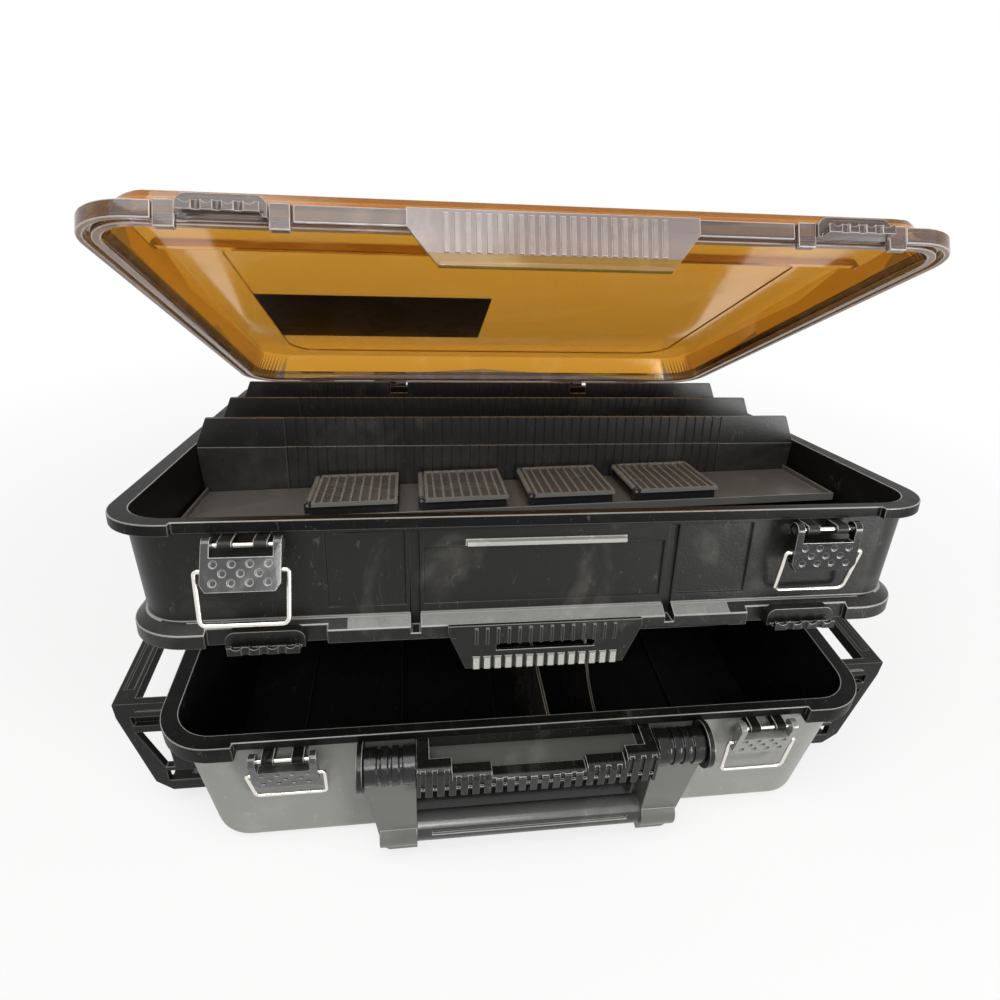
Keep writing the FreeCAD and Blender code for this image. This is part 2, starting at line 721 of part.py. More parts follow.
def upper_case_shell():
    walls = taper((tub_rim_x, upper_foot_y, wall_radius, upper_base), (upper_rim_x, rim_y, wall_radius, upper_rim))
    lip = plate(upper_width / 2, case_depth / 2, rim_radius, upper_rim - rim_lip, upper_rim)
    lip = lip.cut(front_cut(upper_rim, upper_lip_end))
    flange_mid = upper_base + flange_face
    flange = plate(tub_width / 2, case_depth / 2, rim_radius, upper_base, flange_mid)
    slope = taper(
        (tub_width / 2, case_depth / 2, rim_radius, flange_mid),
        (tub_rim_x + flange_top_step, upper_foot_y + flange_top_step, wall_radius + flange_top_step,
         flange_mid + flange_slope),
    )
    outside = walls.fuse([lip, flange, slope])
    flange_top = upper_base + flange_height
    cutters = []
    for side in (-1, 1):
        gap_x = side * lower_latch_x
        cutters.append(slab(gap_x - keeper_gap / 2, gap_x + keeper_gap / 2, front - overrun, rim_front,
                            upper_base - overrun, flange_top + overrun))
        x = side * groove_x
        top = upper_rim - side_panel_top_drop
        cutters.append(slab(x - groove_width / 2, x + groove_width / 2, front - overrun,
                            wall_face(flange_top) + groove_depth, upper_base + flange_slope, top))
        x0, x1 = sorted((side * (groove_x + panel_margin + groove_width / 2), side * side_panel_end))
        cutters.append(slab(x0, x1, rim_front, wall_face(flange_top) + panel_depth,
                            flange_top + panel_rise, top))
    middle_half = groove_x - panel_margin - groove_width / 2
    cutters.append(slab(-middle_half, middle_half, rim_front, wall_face(flange_top) + panel_depth,
                        flange_top + panel_rise, upper_rim - panel_top_drop))
    shell = outside.cut(cutters)
    shell = shell.cut(hollow(tub_rim_x, upper_foot_y, upper_rim_x, upper_base, upper_rim, upper_floor))
    bar_top = upper_rim - ledge_drop
    inner = -rim_y + wall / 2
    additions = [slab(-ledge_half, ledge_half, wall_face(bar_top) - ledge_proud, inner,
                      bar_top - ledge_height, bar_top)]
    additions += side_knuckles(tub_height) + middle_knuckles(upper_rim)
    rail_top = shelf_z - tray_plate
    for side in (-1, 1):
        additions += latch_hooks(side * upper_latch_x, upper_rim)
        reach = inner_half(rail_top)
        x0, x1 = sorted((side * (reach + wall / 2), side * (reach - rail_depth)))
        additions.append(slab(x0, x1, tray_front, tray_back, rail_top - rail_height, rail_top))
    return join([shell] + additions)


def comb_skirt():
    """The plate under the flange, ribbed above, slotted, with a row of teeth along its edge."""
    foot = tub_height - comb_drop
    top = upper_base + comb_rise
    face = front - comb_plate
    body = prism_y([(-comb_bottom_half, foot), (comb_bottom_half, foot), (comb_top_half, top - comb_rise / 2),
                    (comb_top_half, top), (-comb_top_half, top), (-comb_top_half, top - comb_rise / 2)],
                   face, front)
    slot_foot = foot + comb_slot_rise
    body = body.cut(slab(-comb_slot_half, comb_slot_half, face - overrun, front + overrun,
                         slot_foot, slot_foot + comb_slot_height))
    proud = face - comb_rib_proud
    extras = []
    for index in range(comb_teeth):
        x = (index - (comb_teeth - 1) / 2) * comb_pitch
        extras.append(slab(x - comb_tooth / 2, x + comb_tooth / 2, proud, face, foot, foot + comb_tooth_height))
        extras.append(slab(x - comb_rib / 2, x + comb_rib / 2, proud, face,
                           slot_foot + comb_slot_height, top - comb_rib))
    return join([body] + extras)


def comb_section(y0, y1, z0, z1):
    """A plate with a slot at every divider place on both faces, drawn up from z0 to z1."""
    half = upper_rim_x
    front_side = [vec(-half, y0, z0)]
    rear_side = [vec(-half, y1, z0)]
    for index in range(slot_count):
        x = (index - (slot_count - 1) / 2) * slot_pitch
        for edge, deep in ((-1, False), (-1, True), (1, True), (1, False)):
            shift = slot_depth if deep else 0
            front_side.append(vec(x + edge * slot_width / 2, y0 + shift, z0))
            rear_side.append(vec(x + edge * slot_width / 2, y1 - shift, z0))
    front_side.append(vec(half, y0, z0))
    rear_side.append(vec(half, y1, z0))
    return prism(front_side + rear_side[::-1], vec(0, 0, z1 - z0))


def partition(index, notched):
    y0 = index * partition_pitch - partition_front
    y1 = y0 + partition_plate
    kink = upper_rim - partition_kink_drop
    top = upper_rim + partition_top
    lower = comb_section(y0 - partition_foot_extra, y1 + partition_foot_extra, upper_floor_top, kink)
    upper = comb_section(y0, y1, kink, top)
    foot_half = inner_half(upper_floor_top) - partition_side_gap
    rim_half = inner_half(upper_rim) - partition_side_gap
    outline = [(-foot_half, upper_floor_top), (foot_half, upper_floor_top), (rim_half, upper_rim),
               (partition_top_half, top), (-partition_top_half, top), (-rim_half, upper_rim)]
    y_from = y0 - partition_foot_extra - overrun
    y_to = y1 + partition_foot_extra + overrun
    body = lower.fuse(upper).common(prism_y(outline, y_from, y_to))
    if not notched:
        return body
    cutters = [slab(side * rear_notch_x - rear_notch_width / 2, side * rear_notch_x + rear_notch_width / 2,
                    y_from, y_to, top - rear_notch_depth, top + overrun) for side in (-1, 1)]
    return body.cut(cutters)


def catch(place, rim, back_face):
    """A scalloped lip with a seat behind it for the bail's bar, on a plate with round upper corners."""
    foot = rim + catch_foot
    seat = rim + seat_rise
    plate_front = front - catch_back
    high = rim + catch_height
    base = slab(place - catch_half, place + catch_half, catch_lip_front, back_face, foot, seat)
    lip_top = seat + catch_lip_rise
    lip = slab(place - catch_half, place + catch_half, catch_lip_front, catch_lip_back, foot, lip_top)
    backing = slab(place - catch_back_half, place + catch_back_half, plate_front, back_face, foot, high)
    corners = [edge for edge in backing.Edges
               if edge.BoundBox.ZMin > high - overrun and edge.BoundBox.XLength < overrun]
    backing = backing.makeFillet(catch_corner, corners)
    pitch = 2 * catch_half / scallop_count
    cutters = []
    for index in range(scallop_count):
        x = place - catch_half + (index + 0.5) * pitch
        cutters.append(rod_y_way(catch_lip_front - overrun, catch_lip_back + overrun / 2, x,
                                 lip_top + scallop_radius / 2, scallop_radius))
    for index in range(1, scallop_count):
        x = place - catch_half + index * pitch
        cutters.append(Part.makeCylinder(flute_radius, lip_top - foot + 2 * overrun,
                                         vec(x, catch_lip_front - flute_radius + flute_depth, foot - overrun)))
    return join([base, lip, backing]).cut(cutters)


def latch_rod(place, rim):
    half = lever_width / 2
    return rod_x(place - half, place + half, rod_y, rim - rod_drop, rod_radius)


def latch_lever(place, rim):
    """A dimpled plate that turns on the rod by two eyes, with a hole in each side for the bail."""
    z = rim - rod_drop
    half = lever_width / 2
    foot_half = lever_foot_width / 2
    y0 = rod_y - lever_front
    y1 = rod_y + lever_back
    outline = [(place - half, z - lever_neck), (place - half, z - lever_shoulder),
               (place - foot_half, z - lever_length), (place + foot_half, z - lever_length),
               (place + half, z - lever_shoulder), (place + half, z - lever_neck)]
    pieces = [prism_y(outline, y0, y1)]
    holes = [rod_x(place - frame_width, place + frame_width, rod_y, z, rod_radius + running_clearance)]
    for side in (-1, 1):
        x0, x1 = sorted((place + side * half, place + side * (half - lever_eye_width)))
        pieces.append(rod_x(x0, x1, rod_y, z, lever_eye_radius))
        pieces.append(slab(x0, x1, y0, y1, z - lever_neck, z))
        x0, x1 = sorted((place + side * (half + overrun), place + side * (half - bail_stub - overrun)))
        holes.append(rod_x(x0, x1, bail_y, z - bail_drop, wire_radius + running_clearance))
    for row, count in enumerate((4, 3, 4)):
        for index in range(count):
            x = place + (index - (count - 1) / 2) * dimple_pitch_x
            dimple_z = z - dimple_top - row * dimple_pitch_z
            holes.append(rod_y_way(y0 - overrun, y0 + dimple_depth, x, dimple_z, dimple_radius))
    return join(pieces).cut(holes)


def latch_bail(place, rim):
    """The wire loop, drawn hanging, with its two ends turned into the lever."""
    z = rim - rod_drop - bail_drop
    end = lever_width / 2 - bail_stub
    points = [
        vec(place - end, bail_y, z), vec(place - bail_top_half, bail_y, z),
        vec(place - bail_bar_half, bail_y, z - bail_length), vec(place + bail_bar_half, bail_y, z - bail_length),
        vec(place + bail_top_half, bail_y, z), vec(place + end, bail_y, z),
    ]
    path = rounded_path(points, (bail_end_bend, bail_bend, bail_bend, bail_end_bend))
    ring = Part.Wire(Part.Circle(points[0], x_axis, wire_radius).toShape())
    return path.makePipeShell([ring], True, False)


def tray_half():
    return inner_half(shelf_z - tray_plate) - tray_end_gap


def box_places():
    return [(index - (box_count - 1) / 2) * box_pitch - box_shift for index in range(box_count)]


def box_middle():
    return (tray_front + tray_back) / 2


def parts_tray():
    half = tray_half()
    sheet = slab(-half, half, tray_front, tray_back, shelf_z - tray_plate, shelf_z)
    rim = slab(-half, half, tray_front, tray_back, shelf_z, shelf_z + tray_lip)
    thick = tray_lip_thickness
    rim = rim.cut(slab(-half + thick, half - thick, tray_front + thick, tray_back + overrun,
                       shelf_z, shelf_z + tray_lip))
    openings = []
    half_x = box_width / 2 + box_fit
    half_y = box_length / 2 + box_fit
    for x in box_places():
        openings.append(slab(x - half_x, x + half_x, box_middle() - half_y, box_middle() + half_y,
                             shelf_z - tray_plate - overrun, shelf_z + overrun))
    return join([sheet, rim]).cut(openings)


def lid_pivot(x):
    """Where a box lid turns: beside the box's left wall, level with the lid."""
    return x - box_width / 2 - box_ear_radius, shelf_z + box_rise + box_lid_gap + box_lid_plate / 2


def small_box(x):
    y = box_middle()
    half_x = box_width / 2
    half_y = box_length / 2
    foot = shelf_z - box_depth
    top = shelf_z + box_rise
    body = slab(x - half_x, x + half_x, y - half_y, y + half_y, foot, top)
    flange = slab(x - half_x - box_flange_width, x + half_x + box_flange_width, y - half_y - box_flange_width,
                  y + half_y + box_flange_width, shelf_z, shelf_z + box_flange)
    inside = slab(x - half_x + box_wall, x + half_x - box_wall, y - half_y + box_wall, y + half_y - box_wall,
                  foot + box_wall, top)
    pivot_x, pivot_height = lid_pivot(x)
    ears = []
    for y0 in (y - half_y, y + half_y - box_ear):
        ear = rod_y_way(y0, y0 + box_ear, pivot_x, pivot_height, box_ear_radius)
        root = slab(pivot_x - box_ear_radius, x - half_x, y0, y0 + box_ear,
                    top - 2 * box_ear_radius, pivot_height)
        ears.append(ear.fuse(root))
    pierced = rod_y_way(y - half_y - overrun, y + half_y + overrun, pivot_x, pivot_height,
                        box_pin_radius + running_clearance)
    return join([body, flange] + ears).cut([inside, pierced])


def small_box_lid(x):
    """A ribbed lid with a barrel and two pins along its left side and a clip on its right."""
    y = box_middle()
    half_x = box_width / 2
    half_y = box_length / 2 + box_lid_overlap
    foot = shelf_z + box_rise + box_lid_gap
    top = foot + box_lid_plate
    left = x - half_x + box_lid_gap
    right = x + half_x + box_lid_overlap
    pivot_x, pivot_height = lid_pivot(x)
    barrel_half = box_length / 2 - box_ear - box_lid_gap
    pieces = [
        slab(left, right, y - half_y, y + half_y, foot, top),
        slab(pivot_x, left, y - barrel_half, y + barrel_half, foot, top),
        rod_y_way(y - barrel_half, y + barrel_half, pivot_x, pivot_height, box_barrel_radius),
        rod_y_way(y - box_length / 2, y + box_length / 2, pivot_x, pivot_height, box_pin_radius),
        slab(right - box_clip, right, y - box_clip_width / 2, y + box_clip_width / 2,
             foot - box_clip_drop, foot),
    ]
    rib_top = top + box_lid_rib_height
    frame = slab(left, right, y - half_y, y + half_y, top, rib_top)
    frame = frame.cut(slab(left + box_lid_frame, right - box_lid_frame, y - half_y + box_lid_frame,
                           y + half_y - box_lid_frame, top, rib_top))
    pieces.append(frame)
    pitch = (right - left) / (box_lid_rib_count + 1)
    for index in range(1, box_lid_rib_count + 1):
        rib_x = left + index * pitch
        pieces.append(slab(rib_x - box_lid_rib / 2, rib_x + box_lid_rib / 2, y - half_y + box_lid_frame,
                           y + half_y - box_lid_frame, top, rib_top))
    return join(pieces)


def front_band(shift, z):
    """What stands above z over the lid's lower front band, with a sloping step behind."""
    step = shift - lid_step_reach
    high = lid_top + overrun
    slope = (high - z) / (lid_height - lid_front_height) * lid_step_slope
    return prism_x([(front - overrun, z), (step, z), (step + slope, high), (front - overrun, high)],
                   -lid_width / 2, lid_width / 2)


def lid_shell():
    half_x = lid_width / 2
    half_y = case_depth / 2
    rim_top = lid_base + lid_rim_height
    rim = plate(half_x, half_y, rim_radius, lid_base, rim_top)
    foot_x = half_x - lid_rim_width
    foot_y = half_y - lid_rim_width
    foot_radius = rim_radius - lid_rim_width
    dome = taper((foot_x, foot_y, foot_radius, lid_base),
                 (foot_x - lid_slope_side, foot_y - lid_slope_front, foot_radius, lid_top))
    upper_edges = [edge for edge in dome.Edges if edge.BoundBox.ZMin > lid_top - overrun]
    dome = dome.makeFillet(lid_top_round, upper_edges)
    inside = taper((foot_x - lid_wall, foot_y - lid_wall, foot_radius - lid_wall, lid_base),
                   (foot_x - lid_slope_side - lid_wall, foot_y - lid_slope_front - lid_wall,
                    foot_radius - lid_wall, lid_top - lid_wall))
    dome = dome.cut(front_band(-lid_wall, upper_rim + lid_front_height))
    inside = inside.cut(front_band(0, upper_rim + lid_front_height - lid_wall))
    inset = lid_groove_inset
    groove = plate(half_x - inset, half_y - inset, rim_radius - inset, lid_base, lid_base + lid_groove_depth)
    inset = lid_groove_inset + lid_groove_width
    groove = groove.cut(plate(half_x - inset, half_y - inset, rim_radius - inset,
                              lid_base, lid_base + lid_groove_depth))
    ceiling = lid_top - lid_wall
    panel = plate(half_x - lid_panel_inset, (lid_panel_back + lid_panel_front) / 2, lid_panel_radius,
                  ceiling, ceiling + lid_panel_depth)
    panel.translate(vec(0, (lid_panel_back - lid_panel_front) / 2, 0))
    cutters = [inside, groove, panel]
    additions = side_knuckles(upper_rim)
    for side in (-1, 1):
        place = side * upper_latch_x
        cutters.append(slab(place - lid_gap_half, place + lid_gap_half, front - overrun, front + lid_gap_depth,
                            lid_base - overrun, rim_top + overrun))
        for shift in (-post_offset, post_offset):
            x = place + shift
            additions.append(slab(x - post_width / 2, x + post_width / 2, front - post_proud,
                                  front + lid_gap_depth, lid_base - post_drop, rim_top))
    shell = rim.fuse(dome).cut(cutters)
    return join([shell] + additions)


def lid_skirt():
    """The ribbed trapezoid plate on the front of the lid's rim, with a flared lower edge."""
    foot = upper_rim - skirt_drop
    top = upper_rim + skirt_rise - lid_groove_depth / 2
    face = front - skirt_plate
    outline = [(-skirt_bottom_half, foot), (skirt_bottom_half, foot), (skirt_top_half, upper_rim),
               (skirt_top_half, top), (-skirt_top_half, top), (-skirt_top_half, upper_rim)]
    body = prism_y(outline, face, front)
    edge_half = skirt_bottom_half
    extras = [slab(-edge_half, edge_half, face - skirt_lip_proud, face, foot, foot + skirt_plate)]
    for index in range(skirt_rib_count):
        x = (index - (skirt_rib_count - 1) / 2) * skirt_rib_pitch
        extras.append(slab(x - skirt_rib / 2, x + skirt_rib / 2, face - skirt_rib_proud, face,
                           foot + skirt_lip, top - skirt_rib))
    return join([body] + extras)


def lid_label():
    ceiling = lid_top - lid_wall + lid_panel_depth
    return slab(-label_left, -label_right, -label_front, label_back, ceiling - label_plate, ceiling)


def with_upper(shape):
    """Turns a piece of the upper case from closed to its rest pose."""
    turned = shape.copy()
    turned.rotate(vec(0, hinge_y, tub_height), x_axis, -upper_open)
    return turned


def with_lid(shape):
    turned = shape.copy()
    turned.rotate(vec(0, hinge_y, upper_rim), x_axis, -lid_open)
    return with_upper(turned)


def with_tray(shape):
    turned = shape.copy()
    turned.rotate(vec(-tray_half(), 0, shelf_z - tray_plate), y_axis, -tray_tilt)
    return with_upper(turned)


def with_handle(shape):
    turned = shape.copy()
    turned.rotate(vec(0, pivot_y, pivot_z), x_axis, handle_lean)
    return turned


def swung(shape, rim, outward, inward):
    """A latch piece swung with its lever, and a bail turned on the lever before that."""
    turned = shape.copy()
    rod_z = rim - rod_drop
    turned.rotate(vec(0, bail_y, rod_z - bail_drop), x_axis, inward)
    turned.rotate(vec(0, rod_y, rod_z), x_axis, -outward)
    return turned


def as_drawn(shape):
    return shape


def save(node, shape):
    solids = shape.Solids
    body = solids[0] if len(solids) == 1 else Part.makeCompound(solids)
    body.exportStep(os.path.join("parts", node + ".step"))
    print(node, len(solids), "solids", round(body.Volume), "mm3", "valid" if body.isValid() else "NOT VALID")


def all_pieces():
    """Every node's name, its shape in the closed box, and what turns it to the rest pose."""
    frame = side_frame()
    pieces = [
        ("tub_shell", tub_shell(), as_drawn),
        ("side_frame_left", frame, as_drawn),
        ("side_frame_right", frame.mirror(centre, x_axis), as_drawn),
        ("tub_divider", first_divider(), as_drawn),
        ("tub_divider_curved", second_divider(), as_drawn),
        ("tub_hinge_pins", hinge_pins(tub_height), as_drawn),
        ("handle_base", handle_base(), as_drawn),
        ("handle_frame", handle_frame(), with_handle),
        ("handle_grip", handle_grip(), with_handle),
        ("upper_case_shell", upper_case_shell(), with_upper),
        ("comb_skirt", comb_skirt(), with_upper),
        ("partition_front", partition(0, False), with_upper),
        ("partition_middle", partition(1, False), with_upper),
        ("partition_rear", partition(2, True), with_upper),
        ("lid_hinge_pins", hinge_pins(upper_rim), with_upper),
        ("parts_tray", parts_tray(), with_tray),
        ("lid_shell", lid_shell(), with_lid),
        ("lid_skirt", lid_skirt(), with_lid),
        ("lid_label", lid_label(), with_lid),
    ]
    for side, name in ((-1, "left"), (1, "right")):
        low_x = side * lower_latch_x
        high_x = side * upper_latch_x
        outward = left_lever_open if side < 0 else 0
        inward = left_bail_turn if side < 0 else right_bail_turn
        low_inward = lower_left_turn if side < 0 else lower_right_turn
        lever = swung(latch_lever(high_x, upper_rim), upper_rim, outward, 0)
        bail = swung(latch_bail(high_x, upper_rim), upper_rim, outward, inward)
        low_lever = swung(latch_lever(low_x, tub_height), tub_height, -lower_lever_lean, 0)
        low_bail = swung(latch_bail(low_x, tub_height), tub_height, -lower_lever_lean, low_inward)
        pieces += [
            ("handle_pin_" + name, handle_pin(side), as_drawn),
            ("lower_latch_rod_" + name, latch_rod(low_x, tub_height), as_drawn),
            ("lower_latch_lever_" + name, low_lever, as_drawn),
            ("lower_latch_bail_" + name, low_bail, as_drawn),
            ("keeper_" + name, catch(low_x, tub_height, rim_front), with_upper),
            ("upper_latch_rod_" + name, latch_rod(high_x, upper_rim), with_upper),
            ("upper_latch_lever_" + name, lever, with_upper),
            ("upper_latch_bail_" + name, bail, with_upper),
            ("lid_catch_" + name, catch(high_x, upper_rim, front + lid_gap_depth), with_lid),
        ]
    for index, x in enumerate(box_places()):
        pieces.append(("small_box_%d" % (index + 1), small_box(x), with_tray))
        pieces.append(("small_box_lid_%d" % (index + 1), small_box_lid(x), with_tray))
    return pieces


os.makedirs("parts", exist_ok=True)
for node, shape, turn in all_pieces():
    save(node, turn(shape))
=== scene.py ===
import json
import math

import bmesh
import bpy
from mathutils import Matrix, Vector

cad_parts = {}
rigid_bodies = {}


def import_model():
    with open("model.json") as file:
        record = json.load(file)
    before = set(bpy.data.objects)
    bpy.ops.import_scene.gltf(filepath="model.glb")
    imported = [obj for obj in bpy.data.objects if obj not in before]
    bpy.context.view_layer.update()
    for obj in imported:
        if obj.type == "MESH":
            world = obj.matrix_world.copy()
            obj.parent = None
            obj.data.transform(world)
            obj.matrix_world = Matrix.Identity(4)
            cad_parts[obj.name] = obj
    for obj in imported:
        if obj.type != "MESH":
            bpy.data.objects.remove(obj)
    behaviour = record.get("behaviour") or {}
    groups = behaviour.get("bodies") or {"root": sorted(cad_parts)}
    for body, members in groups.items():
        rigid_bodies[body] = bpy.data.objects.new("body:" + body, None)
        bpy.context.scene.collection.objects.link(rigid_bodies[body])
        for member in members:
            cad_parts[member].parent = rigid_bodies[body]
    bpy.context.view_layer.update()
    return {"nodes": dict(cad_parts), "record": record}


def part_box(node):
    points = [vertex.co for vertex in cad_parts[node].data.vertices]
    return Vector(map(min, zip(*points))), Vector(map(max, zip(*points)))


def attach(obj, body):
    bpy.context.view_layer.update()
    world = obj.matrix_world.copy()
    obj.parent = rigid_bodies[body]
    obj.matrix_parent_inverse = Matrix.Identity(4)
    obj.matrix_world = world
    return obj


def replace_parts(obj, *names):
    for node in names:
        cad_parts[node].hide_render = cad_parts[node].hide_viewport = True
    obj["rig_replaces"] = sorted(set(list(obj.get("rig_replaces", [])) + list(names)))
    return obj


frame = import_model()
bodies = frame["record"]["behaviour"]["bodies"]
bodyOfNode = {node: body for body, nodes in bodies.items() for node in nodes}
slotOfNode = {part["node"]: part["material_slot"] for part in frame["record"]["subparts"]}
print("frame loaded:", len(frame["nodes"]), "nodes")

# how far the two stages stand open at rest, in degrees, and their hinge lines, in metres
openBox = {
    "caseAngle": 10.57,
    "caseHinge": (0, 0.1795, 0.0956),
    "lidAngle": 21.42,
    "lidHinge": (0, 0.1795, 0.1618),
}


def turnedAbout(point, degrees):
    point = Vector(point)
    turn = Matrix.Rotation(math.radians(degrees), 4, "X")
    return Matrix.Translation(point) @ turn @ Matrix.Translation(-point)


# the open matrices carry a point of the closed box to where it rests, the closed ones carry it back
caseOpen = turnedAbout(openBox["caseHinge"], -openBox["caseAngle"])
lidOpen = caseOpen @ turnedAbout(openBox["lidHinge"], -openBox["lidAngle"])
caseClosed = caseOpen.inverted()
lidClosed = lidOpen.inverted()
tubPlace = Matrix.Identity(4)


# helpers that put nodes into a shader tree
def put(tree, kind, inputs=None, **settings):
    node = tree.nodes.new(kind)
    for key, value in settings.items():
        setattr(node, key, value)
    for key, value in (inputs or {}).items():
        if isinstance(value, bpy.types.NodeSocket):
            tree.links.new(value, node.inputs[key])
        else:
            node.inputs[key].default_value = value
    return node


def mixed(tree, share, first, second):
    return put(tree, "ShaderNodeMix", {0: share, 6: first, 7: second}, data_type="RGBA").outputs[2]


def maths(tree, operation, *values):
    return put(tree, "ShaderNodeMath", dict(enumerate(values)), operation=operation).outputs[0]


def times(tree, value, factor):
    return maths(tree, "MULTIPLY", value, factor)


def ranged(tree, value, low, high, toLow=0.0, toHigh=1.0):
    spread = {"Value": value, "From Min": low, "From Max": high, "To Min": toLow, "To Max": toHigh}
    return put(tree, "ShaderNodeMapRange", spread, interpolation_type="SMOOTHSTEP").outputs["Result"]


def noisy(tree, vector, size, detail, roughness=0.5, distortion=0.0):
    inputs = {"Vector": vector, "Scale": size, "Detail": detail, "Roughness": roughness,
              "Distortion": distortion}
    return put(tree, "ShaderNodeTexNoise", inputs).outputs["Fac"]


def upwards(tree):
    facing = tree.nodes.new("ShaderNodeNewGeometry").outputs["Normal"]
    return put(tree, "ShaderNodeSeparateXYZ", {"Vector": facing}).outputs["Z"]


def groupWith(tree, group, inputs):
    return put(tree, "ShaderNodeGroup", inputs, node_tree=group).outputs


def newGroup(name, values, outputs):
    tree = bpy.data.node_groups.new(name, "ShaderNodeTree")
    tree.interface.new_socket("Vector", in_out="INPUT", socket_type="NodeSocketVector")
    for socketName, default in values.items():
        socket = tree.interface.new_socket(socketName, in_out="INPUT", socket_type="NodeSocketFloat")
        socket.default_value = default
    for socketName in outputs:
        tree.interface.new_socket(socketName, in_out="OUTPUT", socket_type="NodeSocketFloat")
    return tree, tree.nodes.new("NodeGroupInput").outputs, tree.nodes.new("NodeGroupOutput").inputs


# effects that several materials share, each a node group
grainLook = {"size": 900.0, "noise": {"detail": 4.0, "roughness": 0.65}, "pitTimes": 0.7}


def makeMouldGrain(look):
    tree, given, result = newGroup("mouldGrain", {"Size": look["size"]}, ["Height"])
    noise = noisy(tree, given["Vector"], given["Size"], **look["noise"])
    pits = put(tree, "ShaderNodeTexVoronoi",
               {"Vector": given["Vector"], "Scale": times(tree, given["Size"], look["pitTimes"])},
               feature="SMOOTH_F1").outputs["Distance"]
    tree.links.new(maths(tree, "ADD", noise, pits), result["Height"])
    return tree


marksLook = {
    "size": 18.0, "spread": 0.5, "patchEdge": 0.16,
    "broad": {"detail": 6.0, "roughness": 0.55, "distortion": 1.4},
    "fineTimes": 7.0, "fine": {"detail": 5.0, "roughness": 0.7}, "broken": (0.3, 0.7, 0.35, 1.0),
    "stretch": {"Rotation": (0.4, 0.9, 0.3), "Scale": (1.0, 0.16, 0.22)},
    "linesTimes": 11.0, "lines": {"detail": 2.0, "roughness": 0.5, "distortion": 0.6},
    "lineMiddle": 0.5, "lineWidth": 0.012, "gaps": (0.5, 0.62),
}


def makeHandlingMarks(look):
    values = {"Size": look["size"], "Spread": look["spread"]}
    tree, given, result = newGroup("handlingMarks", values, ["Smudge", "Scratch"])
    broad = noisy(tree, given["Vector"], given["Size"], **look["broad"])
    patches = ranged(tree, broad, given["Spread"], maths(tree, "ADD", given["Spread"], look["patchEdge"]))
    fine = noisy(tree, given["Vector"], times(tree, given["Size"], look["fineTimes"]), **look["fine"])
    tree.links.new(times(tree, patches, ranged(tree, fine, *look["broken"])), result["Smudge"])
    stretched = put(tree, "ShaderNodeMapping", {"Vector": given["Vector"], **look["stretch"]}).outputs[0]
    lines = noisy(tree, stretched, times(tree, given["Size"], look["linesTimes"]), **look["lines"])
    distance = maths(tree, "ABSOLUTE", maths(tree, "SUBTRACT", lines, look["lineMiddle"]))
    thin = ranged(tree, distance, 0.0, look["lineWidth"], 1.0, 0.0)
    tree.links.new(times(tree, thin, ranged(tree, fine, *look["gaps"])), result["Scratch"])
    return tree


# convex edges lightened by pointiness: partly worn edges, partly a painted highlight
wornAndHighlightLook = {"start": 0.52, "width": 0.09, "noiseSize": 160.0, "noiseDetail": 3.0,
            "broken": (0.3, 0.6, 0.45, 1.0)}


def makeWornEdgesAndHighlight(look):
    tree, given, result = newGroup("wornEdgesAndHighlight", {"Start": look["start"], "Width": look["width"]}, ["Edge"])
    pointed = tree.nodes.new("ShaderNodeNewGeometry").outputs["Pointiness"]
    edge = ranged(tree, pointed, given["Start"], maths(tree, "ADD", given["Start"], given["Width"]))
    noise = noisy(tree, given["Vector"], look["noiseSize"], look["noiseDetail"])
    tree.links.new(times(tree, edge, ranged(tree, noise, *look["broken"])), result["Edge"])
    return tree


dustLook = {"size": 60.0, "flat": (0.55, 0.98), "noise": {"detail": 6.0, "roughness": 0.7},
            "patchy": (0.35, 0.75, 0.2, 1.0)}


def makeSettledDust(look):
    tree, given, result = newGroup("settledDust", {"Size": look["size"]}, ["Dust"])
    flat = ranged(tree, upwards(tree), *look["flat"])
    noise = noisy(tree, given["Vector"], given["Size"], **look["noise"])
    tree.links.new(times(tree, flat, ranged(tree, noise, *look["patchy"])), result["Dust"])
    return tree


mouldGrain = makeMouldGrain(grainLook)
handlingMarks = makeHandlingMarks(marksLook)
wornEdgesAndHighlight = makeWornEdgesAndHighlight(wornAndHighlightLook)
settledDust = makeSettledDust(dustLook)


# what every material starts and ends with
def startMaterial(name):
    material = bpy.data.materials.new(name)
    material.use_nodes = True
    tree = material.node_tree
    shader = tree.nodes["Principled BSDF"]
    coords = tree.nodes.new("ShaderNodeTexCoord").outputs["Object"]
    return material, tree, shader, coords


def placed(tree, coords, closed):
    turn = closed.to_euler()
    inputs = {"Vector": coords, "Location": closed.to_translation(), "Rotation": (turn.x, turn.y, turn.z)}
    return put(tree, "ShaderNodeMapping", inputs).outputs[0]


def rgba(colour):
    return (colour[0], colour[1], colour[2], 1.0)


def coat(tree, shader, colour, rough, height, look):
    tree.links.new(colour, shader.inputs["Base Color"])
    tree.links.new(rough, shader.inputs["Roughness"])
    bump = put(tree, "ShaderNodeBump",
               {"Height": height, "Strength": look["grainStrength"], "Distance": look["grainDepth"]})
    tree.links.new(bump.outputs[0], shader.inputs["Normal"])


